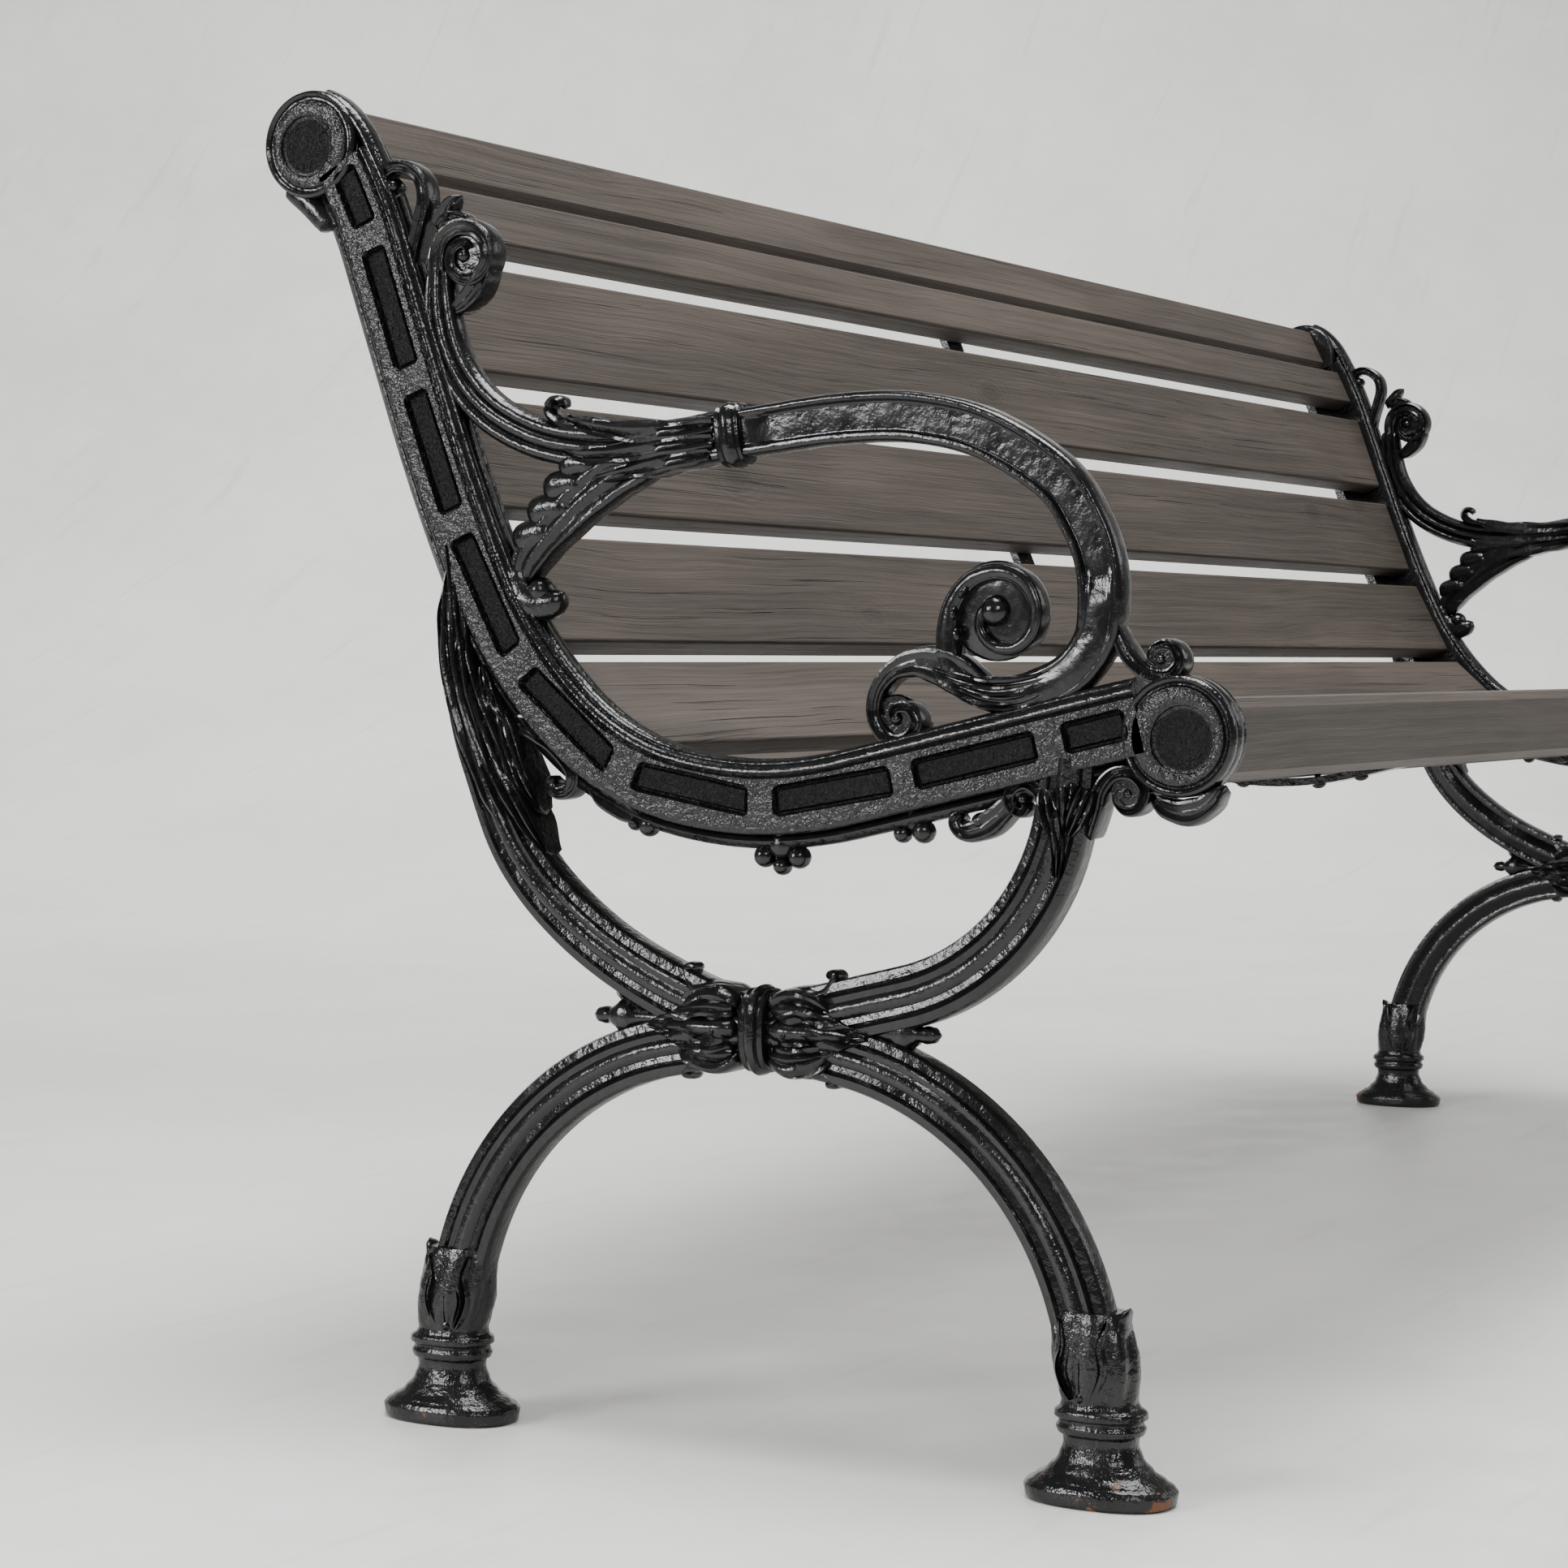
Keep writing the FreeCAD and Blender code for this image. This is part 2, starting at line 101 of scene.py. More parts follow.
def bump(x, centre, half):
    # half-round rib: the upper half of an ellipse, flat elsewhere
    return np.sqrt(np.clip(1 - ((x - centre) / half) ** 2, 0, 1))


# Closed shells, gathered for one casting

shells = []


def addShell(out, y, z, pebble=0.3):
    # rows go along the piece and columns round it; both ends close to their middle point
    rows, columns = y.shape
    points = np.stack([out, y, z], -1)
    vertices = np.vstack([points.reshape(-1, 3), points[0].mean(0), points[-1].mean(0)])
    i, j = np.meshgrid(np.arange(rows - 1), np.arange(columns), indexing="ij")
    k = (j + 1) % columns
    quads = np.stack([i * columns + j, i * columns + k, (i + 1) * columns + k,
                      (i + 1) * columns + j], -1).reshape(-1, 4)
    j = np.arange(columns)
    k = (j + 1) % columns
    first, last = rows * columns, rows * columns + 1
    caps = np.vstack([np.stack([j * 0 + first, k, j], -1),
                      np.stack([j * 0 + last, (rows - 1) * columns + j, (rows - 1) * columns + k], -1)])
    weight = np.broadcast_to(pebble, (rows, columns)).reshape(-1)
    weight = np.concatenate([weight, [weight[0], weight[-1]]])
    shells.append({"vertices": vertices, "quads": quads, "caps": caps, "pebble": weight})


def control(values, share):
    # values spread evenly over the length and joined smoothly
    values = np.atleast_1d(np.array(values, float))
    if values.size == 1:
        return np.full(share.shape, values[0])
    place = share * (values.size - 1)
    i = np.clip(place.astype(int), 0, values.size - 2)
    t = place - i
    t = t * t * (3 - 2 * t)
    return values[i] * (1 - t) + values[i + 1] * t


def carry(line, width, depth, relief=None, ends=(True, True), count=17, lobes=0, lobeDepth=0.0,
          pebble=0.3, edge=0.55):
    # A two-faced profile carried along a line. width and depth are half sizes; relief(u, s)
    # gives the face's height for u across (-1..1) and s along; rounded at both edges and ends.
    share = line["share"]
    w, d = (value if np.size(value) == share.size else control(value, share) for value in (width, depth))
    side = w
    if lobes:
        side = w * (1 + lobeDepth * (np.abs(np.sin(np.pi * lobes * share)) - 0.6))
    total = line["station"][-1]
    fade = np.ones_like(share)
    for atEnd, rounded in enumerate(ends):
        if rounded:
            reach = max(w[-1 if atEnd else 0], 1.5)
            gone = (total - line["station"] if atEnd else line["station"]) / reach
            fade = fade * np.sqrt(np.clip(1 - (1 - np.clip(gone, 0, 1)) ** 2, 0.01, 1))
    u = np.concatenate([[-1, -0.98, -0.92], np.linspace(-0.84, 0.84, count - 8), [0.92, 0.98, 1]])
    rounding = edge + (1 - edge) * np.sqrt(np.clip(1 - (np.clip(np.abs(u) - 0.84, 0, 1) / 0.16) ** 2, 0, 1))
    height = (relief or plain)(u[None, :], share[:, None]) * rounding[None, :]
    height = height * (d * fade)[:, None]
    across = side[:, None] * u[None, :] * fade[:, None]
    # the face towards the seat keeps every second column
    far = np.arange(u.size)[::-2]
    across = np.concatenate([across, across[:, far]], 1)
    out = np.concatenate([height, -height[:, far]], 1)
    y = line["y"][:, None] + line["normalY"][:, None] * across
    z = line["z"][:, None] + line["normalZ"][:, None] * across
    addShell(out, y, z, pebble)


def plain(u, s):
    # a face that is 0.86 high at its edges and rises by 0.14 * (1 - u * u) to the middle
    return 0.86 + 0.14 * (1 - u * u) + 0 * s


def reeded(u, s):
    # a broad middle reed between two pairs of fine ones
    a = np.abs(u)
    return (0.66 + 0.34 * bump(u, 0, 0.3) + 0.19 * bump(a, 0.44, 0.11) + 0.13 * bump(a, 0.68, 0.1)
            + 0.08 * bump(a, 0.9, 0.12) + 0 * s)


def threeReeds(u, s):
    # a flat face with half-round ribs at u = 0 and u = -0.62 and 0.62
    return 0.62 + 0.38 * bump(u, 0, 0.3) + 0.3 * bump(np.abs(u), 0.62, 0.28) + 0 * s


def rounded(u, s):
    # the square root of 1 - 0.8 * u * u, an ellipse cut off near its ends
    return np.sqrt(np.clip(1 - 0.8 * u * u, 0, 1)) + 0 * s


def rimmed(u, s):
    # raised rims along a sunk middle, as on a scroll's band
    return 0.62 + 0.38 * bump(np.abs(u), 0.7, 0.32) + 0.16 * bump(u, 0, 0.25) + 0 * s


def leafVeins(count, slant):
    # ribs that fan from the middle rib towards the edges and the tip
    def relief(u, s):
        ribs = np.abs(np.sin(np.pi * (count * s - slant * np.abs(u))))
        return 0.66 + 0.26 * ribs * (1 - 0.3 * np.abs(u)) + 0.24 * bump(u, 0, 0.16)
    return relief


def grooves(count):
    # the size of sin(pi * count * (u + 1) / 2 + 1.2 * s): count ribs that drift sideways along s
    def relief(u, s):
        return 0.72 + 0.3 * np.abs(np.sin(np.pi * count * (u + 1) / 2 + 1.2 * s))
    return relief


def turned(centre, heading, sections, power=2.2, around=28, smooth=6, ripple=None, pebble=0.25):
    # sections (station, half across, half out, shift) along a straight axis, each a soft oval
    s = np.array([row[0] for row in sections], float)
    rows = np.array([list(row[1:]) + [0] * (4 - len(row)) for row in sections], float)
    place = np.linspace(0, len(s) - 1, (len(s) - 1) * smooth + 1)
    i = np.clip(place.astype(int), 0, len(s) - 2)
    t = (place - i)
    station = s[i] * (1 - t) + s[i + 1] * t
    t = (t * t * (3 - 2 * t))[:, None]
    size = rows[i] * (1 - t) + rows[i + 1] * t
    angle = np.linspace(0, 2 * np.pi, around, endpoint=False)[None, :]
    c, q = np.cos(angle), np.sin(angle)
    swell = 1 if ripple is None else ripple(angle, place[:, None] / place[-1])
    across = size[:, :1] * np.sign(c) * np.abs(c) ** (2 / power) * swell + size[:, 2:3]
    out = size[:, 1:2] * np.sign(q) * np.abs(q) ** (2 / power) * swell
    a = math.radians(heading)
    y = centre[0] + math.cos(a) * station[:, None] - math.sin(a) * across
    z = centre[1] + math.sin(a) * station[:, None] + math.cos(a) * across
    addShell(out, y, z, pebble)


def knob(centre, radius, depth, stretch=1.0, heading=0.0, pebble=0.2):
    # a ball flattened to its depth
    t = np.linspace(-1, 1, 9)
    sections = [(radius * stretch * a, radius * math.sqrt(max(1 - a * a, 0.003)),
                 depth * math.sqrt(max(1 - a * a, 0.003))) for a in np.sin(t * np.pi / 2)]
    turned(centre, heading, sections, power=2, around=18, smooth=2, pebble=pebble)


def dished(centre, profile, around=72, pebble=0.3, shift=0.0):
    # a profile (radius, out) turned about the axis that points away from the seat
    p = np.array(profile, float)
    angle = np.linspace(0, 2 * np.pi, around, endpoint=False)[None, :]
    out = np.repeat(p[:, 1:2], around, 1)
    move = np.zeros((len(p), 2)) + shift
    addShell(out, centre[0] + move[:, :1] + p[:, :1] * np.cos(angle),
             centre[1] + move[:, 1:] + p[:, :1] * np.sin(angle),
             np.repeat(np.array(pebble if np.ndim(pebble) else [pebble] * len(p))[:, None], around, 1))


# The band that carries the boards

bandSet = {
    "start": (269.2, 776.8), "heading": -119.3, "lead": 6, "tail": 6,
    "runs": [(53, 9.6), (108, 0), (118, -5.4), (102, -21.6), (87, -30.1), (120, -26.8), (184, 0)],
    "windowHalf": 8.8, "windowDepth": 4.6, "floorRise": 2.3, "windowRound": 3.5,
    "ridgeOffset": 23.4, "ridgeHalf": 4.7, "ridgeDepth": 7.5,
    "windows": [(18.6, 39), (94.6, 79), (190.8, 79), (287.7, 79), (385.3, 79), (484.1, 79),
                (580.4, 79), (674.3, 79), (750.9, 39)],
}


def bandLineAt(spacing):
    # the boards' line, made longer by lead at its start and by tail at its end
    first = math.radians(bandSet["heading"])
    start = (bandSet["start"][0] - math.cos(first) * bandSet["lead"],
             bandSet["start"][1] - math.sin(first) * bandSet["lead"])
    runs = [(bandSet["lead"], 0)] + bandSet["runs"] + [(bandSet["tail"], 0)]
    return lineFromRuns(start, bandSet["heading"], runs, spacing)


def band():
    # The section is a flat face, a groove and three beads round the front, carried along the
    # boards' line. A window sinks the face where the rounded rectangle's distance is below zero.
    line = bandLineAt(0.5)
    lead = bandSet["lead"]
    edges = [lead + middle + side * (length / 2 + step) for middle, length in bandSet["windows"]
             for side in (-1, 1) for step in (1.6, 0.6, -0.1, -0.8, -1.9, -3.0, -4.2)]
    stations = np.unique(np.concatenate([np.arange(0, line["station"][-1], 7.0), edges,
                                         [line["station"][-1]]]))
    stations = stations[(stations >= 0) & (stations <= line["station"][-1])]
    picked = {key: np.interp(stations, line["station"], line[key]) for key in ("y", "z", "angle")}
    half = bandSet["windowHalf"]
    face = [18, 15.5, 12.5, 10, half + 0.6, half - 0.1, half - 0.8, half - 1.9, half - 3, 3.4, 0, -3.4,
            3 - half, 1.9 - half, 0.8 - half, 0.1 - half, -half - 0.6, -10, -12, -13.4]
    section = ([(19.5, -9.5), (19.5, 9), (19.1, 10.7)] + [(a, 11.5) for a in face]
               + [(-14.3, 10.2), (-15.2, 9.4), (-16, 10.6), (-17.4, 11.7), (-19, 11.5), (-20.4, 10),
                  (-21.2, 8.6), (-22.2, 9.2), (-23.6, 8.8), (-24.7, 7.2), (-24.6, 5.2), (-24, 4.4),
                  (-25, 3), (-25.4, 0), (-25, -3), (-24, -4.4), (-24.8, -6.4), (-24.6, -8.6),
                  (-23, -10.6), (-20.5, -11.4), (-18.6, -10.4), (-17, -11.3), (-12, -11.5), (0, -11.5),
                  (12, -11.5), (18.2, -11.5)])
    across = np.repeat(np.array([row[0] for row in section])[None, :], stations.size, 0)
    out = np.repeat(np.array([row[1] for row in section])[None, :], stations.size, 0)
    onFace = np.zeros(len(section), bool)
    onFace[3:3 + len(face)] = True
    depth = np.zeros_like(across)
    floor = np.zeros_like(across)
    shift = np.zeros(stations.size)
    for middle, length in bandSet["windows"]:
        from0, to0 = lead + middle - length / 2, lead + middle + length / 2
        ends = [np.interp([from0, to0], line["station"], line[key]) for key in ("y", "z")]
        chord = math.atan2(ends[1][1] - ends[1][0], ends[0][1] - ends[0][0])
        normal = (-math.sin(chord), math.cos(chord))
        offChord = (picked["y"] - ends[0][0]) * normal[0] + (picked["z"] - ends[1][0]) * normal[1]
        inside = smoothStep(stations, from0 - 8, from0) * (1 - smoothStep(stations, to0, to0 + 8))
        shift += -offChord * inside
        along = np.abs(stations - (from0 + to0) / 2)[:, None] - (length / 2 - bandSet["windowRound"])
        over = np.abs(across) - (half - bandSet["windowRound"])
        distance = (np.hypot(np.maximum(along, 0), np.maximum(over, 0))
                    + np.minimum(np.maximum(along, over), 0) - bandSet["windowRound"])
        depth = np.maximum(depth, 1 - smoothStep(distance, -0.55, 0.35))
        floor = np.maximum(floor, 1 - smoothStep(distance, -3.1, -1.9))
    # the windows are straight, so within one the face's lines follow its chord
    ease = np.clip((14 - np.abs(across)) / 4, 0, 1) * onFace[None, :]
    sunk = depth * bandSet["windowDepth"] - floor * bandSet["floorRise"]
    out = out - sunk * onFace[None, :]
    rough = 0.35 + 0.65 * (onFace[None, :] | (depth > 0.5)) + 0.8 * (depth > 0.9)
    across = across + shift[:, None] * ease
    y = picked["y"][:, None] - np.sin(picked["angle"])[:, None] * across
    z = picked["z"][:, None] + np.cos(picked["angle"])[:, None] * across
    addShell(out, y, z, rough)
    ledge = bandLineAt(6.0)
    corners = np.array([(10.9, -11), (10.9, -68.4), (19.4, -68.4), (19.4, -11)])
    y = ledge["y"][:, None] + ledge["normalY"][:, None] * corners[None, :, 0]
    z = ledge["z"][:, None] + ledge["normalZ"][:, None] * corners[None, :, 0]
    addShell(np.repeat(corners[None, :, 1], y.shape[0], 0), y, z, 0.6)
    # round moulding along the band's back, set in from both faces
    ridge = bandLineAt(9.0)
    ridge["y"] = ridge["y"] + ridge["normalY"] * bandSet["ridgeOffset"]
    ridge["z"] = ridge["z"] + ridge["normalZ"] * bandSet["ridgeOffset"]
    carry(ridge, bandSet["ridgeHalf"], bandSet["ridgeDepth"], rounded, count=11)


rollSet = {"top": (296.2, 795.5), "front": (-296.2, 432.0), "topEnd": (298.5, 794.5),
           "frontEnd": (-299.5, 430.0), "radius": 34.4,
           # the moulding that runs on over the top roll, and the web behind the roll
           "webs": [([(236, 760), (250, 786), (262, 806), (276, 820), (292, 828.5)], 4.5, 9),
                    ([(318, 772), (300, 758), (283, 742)], 8, 9)]}


def rolls():
    # a flat pebbled face with a sunk round end in it and a moulded rim outside; the sunk end
    # has its own centre, and the rings between move from one centre to the other
    r = rollSet["radius"]
    rim = [(0, 8.8), (9, 9.0), (16, 8.9), (18.2, 8.7), (18.9, 9.0), (19.2, 11.0), (19.8, 11.5), (23, 11.5),
           (27, 11.5), (27.8, 10.8), (28.6, 9.2), (29.6, 9.2), (30.5, 11.0), (32, 11.9), (33.4, 11.1),
           (r - 0.1, 8.6), (r, 6.2), (r - 1, 4.9), (r - 0.1, 3.4), (r, 0), (r - 0.1, -3.4), (r - 1, -4.9),
           (r - 0.1, -7), (r - 1, -10), (r - 3.4, -11.5), (12, -11.5), (0, -11.5)]
    rough = [1.7, 1.7, 1.7, 1.2, 0.8, 0.8, 1, 1, 1] + [0.3] * 18
    for place, end in (("top", "topEnd"), ("front", "frontEnd")):
        centre, inner = np.array(rollSet[place]), np.array(rollSet[end])
        near = np.array([np.clip((27 - radius) / 7, 0, 1) * (out > 0) for radius, out in rim])
        dished(centre, rim, around=88, pebble=rough, shift=near[:, None] * (inner - centre))
    for points, width, depth in rollSet["webs"]:
        carry(lineThrough(points, 2.5), width, depth, rounded, count=13)


# Legs, feet and the crossing

legSet = {
    "middle": -31.0, "node": 253.0, "width": [18.5, 18, 17.5], "depth": 13.5,
    "rearUpper": {"start": (190, 548), "heading": -98,
                  "runs": [(60, 5.6), (60, -17.3), (60, -5.4), (60, -22.1), (60, -13.8), (70, -10.8),
                           (50, -7.8)]},
    "frontUpper": {"start": (-229, 418), "heading": -88, "runs": [(42, 11), (146, 63), (102, 0)]},
    "rearLower": {"start": (181, 84), "heading": 102, "runs": [(29, 6), (206, 62), (58, 0)]},
    "footSpread": 218.5,
    "foot": [(0, 42, 27), (2, 44, 28.6), (8, 45, 29), (10.5, 43, 28), (13, 39, 26), (18, 31, 22),
             (25, 24.5, 18), (33, 21.5, 16.4), (37, 22, 16.8), (39, 25, 18.6), (42, 26, 19.4),
             (44.5, 24.6, 18.4), (46, 24.4, 18.2), (48, 27, 20), (51, 26.6, 20), (54, 23, 18),
             (57, 22, 17.2), (63, 22.6, 17.6), (72, 24.2, 18.4), (82, 24.4, 18.2), (92, 23, 17),
             (101, 21, 15.6), (107, 19.6, 14.4)],
}


def legs():
    # each leg is the reeded profile carried along its line; the front lower one is the rear one mirrored
    width, depth = legSet["width"], legSet["depth"]
    rear = lineFromRuns(**legSet["rearUpper"])
    carry(rear, [2, 10, 14.5, 17, 17.5, 18, 18], depth, reeded, ends=(True, False), count=27)
    carry(lineFromRuns(**legSet["frontUpper"]), [17, 18, 18.5, 18.5], depth, reeded,
          ends=(False, False), count=27)
    for setting in (legSet["rearLower"], mirroredRuns(legSet["rearLower"], legSet["middle"])):
        carry(lineFromRuns(**setting), width, depth, reeded, ends=(False, False), count=27)


def feet():
    # ovals stacked by height, each moved towards the legs' middle by 0.12 * (height - 50)
    def leafy(angle, share):
        # the bulb's upright leaf ribs, between the rings and the tips
        region = smoothStep(share, 0.7, 0.78) * (1 - smoothStep(share, 0.96, 1.0))
        return 1 + 0.10 * region * (np.abs(np.sin(4 * angle + 6 * share)) - 0.4)
    for side in (-1, 1):
        y = legSet["middle"] + side * legSet["footSpread"]
        sections = [(z, halfY, halfX, side * 0.12 * max(z - 50, 0)) for z, halfY, halfX in legSet["foot"]]
        turned((y, 0), 90, sections, power=2.35, around=56, smooth=3, ripple=leafy, pebble=0.45)
        lean = y - side * 6
        # leaves wrapped up the bulb, and their curled tips
        for shift, tilt in ((-9, -6), (9, 6), (0, 0)):
            tall = 106 if shift else 98
            stem = lineThrough([(lean + shift * 0.5, 56), (lean + shift * 1.3, 74),
                                (lean + shift * 1.1, 90), (lean + shift * 1.4 + tilt * 0.3, tall)], 1.6)
            carry(stem, [2.5, 5, 5.6, 4.6, 2], [17.6, 19.6, 19.8, 17.6, 14.6], threeReeds, count=15)
        knob((lean, 60), 6, 20.6, 0.8)
        for lateral in (-1, 1):
            tip = lineThrough([(lean + lateral * 14, 82), (lean + lateral * 18.5, 95),
                               (lean + lateral * 20, 104), (lean + lateral * 23.5, 110)], 1.6)
            carry(tip, [5, 5.4, 4.4, 3, 1.6], [14, 13, 11, 8, 5], rounded, count=13)


def crossing():
    # ringed collar with the same leaves and bud at y = middle + side * distance on both sides
    middle, node = legSet["middle"], legSet["node"]
    centre = (middle, node)
    turned(centre, 0, [(-9, 20, 15), (-8, 23.5, 18.5), (-6, 25, 20), (-3.6, 24, 19), (-2.6, 25.5, 20.6),
                       (0, 27, 22), (2.6, 25.5, 20.6), (3.6, 24, 19), (6, 25, 20), (8, 23.5, 18.5),
                       (9, 20, 15)], power=2.6, around=44, smooth=3, pebble=0.2)
    for side in (-1, 1):
        def at(dy, dz):
            return (middle + side * dy, node + dz)
        blade = lineThrough([at(6, 0), at(30, 0), at(52, 0), at(76, 0)], 1.6)
        carry(blade, [21, 25, 24, 17, 11, 6, 2], [17, 19.5, 20, 18, 16.5, 15, 13], leafVeins(3, 0.9),
              count=25, lobes=3, lobeDepth=0.16, pebble=0.25)
        carry(lineThrough([at(8, 1), at(40, 1), at(66, 0)], 1.6), [6, 8, 7, 5, 2], [19, 21.6, 20.6, 18, 13],
              rounded, count=15, lobes=3, lobeDepth=0.14, pebble=0.25)
        for dz in (-13, 13):
            carry(lineThrough([at(9, dz * 0.8), at(24, dz * 1.25), at(40, dz * 1.1), at(54, dz * 0.5)], 1.6),
                  [8, 10.5, 9, 3], [17, 19.6, 18.6, 10], grooves(2), count=17, pebble=0.25)
        knob(at(24, -1), 6.5, 22.4)
        knob(at(24, -1), 3.4, 24.2)
        for dz, tip in ((21, 34), (-20, -28)):
            curl = lineThrough([at(14, dz * 0.8), at(30, dz * 1.02), at(44, dz * 1.15), at(50, tip),
                                at(43, tip + np.sign(dz) * 1)], 1.4)
            carry(curl, [6, 7.4, 6.4, 4.6, 3.6, 3], [15, 15, 14, 12, 10, 8], rounded, count=13)
        for dz in (-13, 13):
            carry(lineThrough([at(10, dz), at(28, dz * 1.1), at(46, dz * 0.9), at(58, dz * 0.6)], 1.6),
                  [5, 7, 6, 4, 1.6], [18, 20, 18.6, 16, 13], rounded, count=13, pebble=0.2)
        bud = at(70, 3)
        heading = 0 if side > 0 else 180
        turned(bud, heading, [(0, 4, 7), (8, 4.5, 7), (16, 6, 8), (21, 10.5, 9), (26, 11, 9), (31, 7, 8),
                              (34, 4.4, 6.6), (38, 5.4, 6), (43, 4.6, 5),
                               (46.5, 1, 1.4)], around=22, smooth=3)
        for dz in (-1, 1):
            petal = lineThrough([at(74, 3 + dz * 2), at(88, 3 + dz * 9), at(97, 3 + dz * 15),
                                 at(93, 3 + dz * 19)], 1.4)
            carry(petal, [2.6, 4.4, 4.4, 3.4, 2.4], [6, 8, 8, 7, 5], rounded, count=11)


# Arm, brace and their scrolls

armSet = {
    "points": [(6, 603.8), (-37.3, 609.3), (-82.7, 613.9), (-128, 613.6), (-173.7, 603), (-217.7, 577.3),
               (-236, 552.3), (-245, 530.5), (-247.3, 508.6), (-244, 486), (-230, 467), (-209.5, 456.5),
               (-187, 453), (-167, 457.5), (-154.5, 470), (-151.5, 489), (-156, 507), (-168, 520),
               (-185, 524), (-200, 518), (-207.5, 504), (-205, 489), (-194.5, 480.5), (-181, 481.5),
               (-173, 490.5), (-174, 501), (-182, 506)],
    # half width at each point
    "width": [14.6, 14.8, 15, 15, 14.8, 14.6, 14.2, 14, 13.8, 13.5, 13.2, 13, 11, 9, 8, 7, 6.2, 5.6, 5.2,
              5, 4.8, 4.6, 4.2, 3.9, 3.6, 3.3, 3],
    "depth": [9.5, 9.5, 9.5, 9.5, 9.5, 9.5, 9.5, 9.5, 9.2, 8.8, 8.6, 8.6, 8.6, 8.6, 8.6],
    "panelStart": 30.0, "panelEnd": 305.0,
}


def arm():
    # the arm's half width is read off its points by their share of the summed chords
    line = lineThrough(armSet["points"], 3.6)
    total = line["station"][-1]
    knots = np.concatenate([[0], np.cumsum(np.hypot(*np.diff(np.array(armSet["points"]), axis=0).T))])
    width = np.interp(line["share"], knots / knots[-1], armSet["width"])

    def relief(u, s):
        # sunk panel between two round rims, with round ends, that gives way to a plain round stem
        station = s * total
        a = np.abs(u)
        fromEnds = np.minimum(station - armSet["panelStart"], armSet["panelEnd"] - station)
        reach = np.sqrt(np.clip(1 - (1 - np.clip(fromEnds / 12.0, 0, 1)) ** 2, 0, 1)) * (fromEnds > 0)
        panel = 1 - smoothStep(a, 0.62 * reach - 0.035, 0.62 * reach + 0.035)
        panel = panel * (reach > 0.05)
        rim = 0.86 + 0.14 * bump(a, 0.78, 0.2)
        stem = np.sqrt(np.clip(1 - 0.7 * u * u, 0, 1)) + 0.1 * bump(a, 0.8, 0.18)
        late = smoothStep(station, armSet["panelEnd"] + 6, armSet["panelEnd"] + 40)
        return (rim * (1 - 0.36 * panel)) * (1 - late) + stem * late
    share = line["share"] * total
    rough = np.where(share < armSet["panelEnd"], 0.2, 0.12)[:, None]
    carry(line, width, armSet["depth"], relief, ends=(False, True), count=37,
          pebble=rough)
    # the collar between arm and brace
    turned((-8.5, 605.6), 172, [(-8.5, 15, 9), (-8, 17.6, 12), (-6.6, 18.6, 13), (-5, 17.4, 12),
                                (-4.2, 18, 12.8), (-2, 19.6, 14.2), (0, 20, 14.6), (2, 19.6, 14.2),
                                (4.2, 18, 12.8), (5, 17.4, 12), (6.6, 18.6, 13), (8, 17.6, 12),
                                (8.5, 15, 9)], power=3, around=40, smooth=3, pebble=0.2)


braceSet = {"start": (201, 718), "heading": -87,
            "runs": [(25, -6.6), (45, -26.8), (45, -29.3), (55, -22.5), (65, -14.5), (40, 0.2)]}


def brace():
    # three reeds carried along the brace's runs, then the leaves over its lower end
    line = lineFromRuns(**braceSet)
    carry(line, [9, 12, 12.5, 12.5, 12.5, 13, 14, 15.5], [8.5, 9.4, 9.5, 9.5, 9.5, 9.5, 9.5, 9.5],
          threeReeds, ends=(True, False), count=25)
    # leaves laid over the brace's lower end, pointing back from the collar
    for points, width, depth in (
            ([(-2, 612), (30, 609), (62, 609), (92, 614), (108, 619)], [6, 7, 7.5, 6, 3],
             [12, 13, 13, 12, 9]),
            ([(-2, 603), (32, 600), (66, 596), (96, 596), (112, 601)], [6, 7, 7, 6, 2.5],
             [12, 13.4, 13, 12, 9]),
            ([(0, 595), (34, 590), (66, 584), (90, 580)], [5, 6.5, 7, 5, 2.5], [12, 12.6, 12.6, 11, 8])):
        carry(lineThrough(points, 2), width, depth, grooves(2), count=15, lobes=3, lobeDepth=0.15)
    curl = lineThrough([(96, 613), (112, 616), (120, 623), (118, 629), (112, 629), (111, 624)], 1.4)
    carry(curl, [3.4, 4, 4, 3.4, 3, 2.6], [11, 11, 10, 9, 8, 7], rounded, count=11)
    # rib that ties the brace's back to the band
    carry(lineThrough([(214, 655), (204, 640), (197, 620)], 2.5), [3, 6, 4], [9, 9, 9], rounded, count=11)


dropSet = {
    "stem": [(38, 596), (66, 586), (90, 573), (108, 559), (123, 545), (134, 531), (139, 518)],
    "lobes": [((82, 588), (114, 587), 8), ((90, 577), (125, 573), 9), ((102, 564), (136, 557), 9.5),
              ((114, 550), (146, 540), 9.5)],
}


def armDrop():
    # the leaf that hangs from the brace's end to the band: a stem, round-tipped lobes and a curl
    carry(lineThrough(dropSet["stem"], 2), [11, 14.5, 15.5, 14.5, 12.5, 9], [9, 9.4, 9.4, 9.4, 9, 8],
          grooves(3), count=21)
    for root, tip, width in dropSet["lobes"]:
        middle = ((root[0] + tip[0]) / 2, (root[1] + tip[1]) / 2 + 2.5)
        carry(lineThrough([root, middle, tip], 1.5), [width * 0.7, width, width * 1.1, width * 0.95],
              [8.4, 10.2, 10, 8], rounded, count=15)
    curl = [(139, 531), (145, 519), (141, 509), (130, 504), (118, 505.5), (110, 512)]
    carry(lineThrough(curl, 1.6), [9, 11, 12, 11, 9, 5], [8, 9.4, 10.2, 10.2, 9, 7],
          rounded, count=17)
    knob((126, 513), 8.5, 10.5)


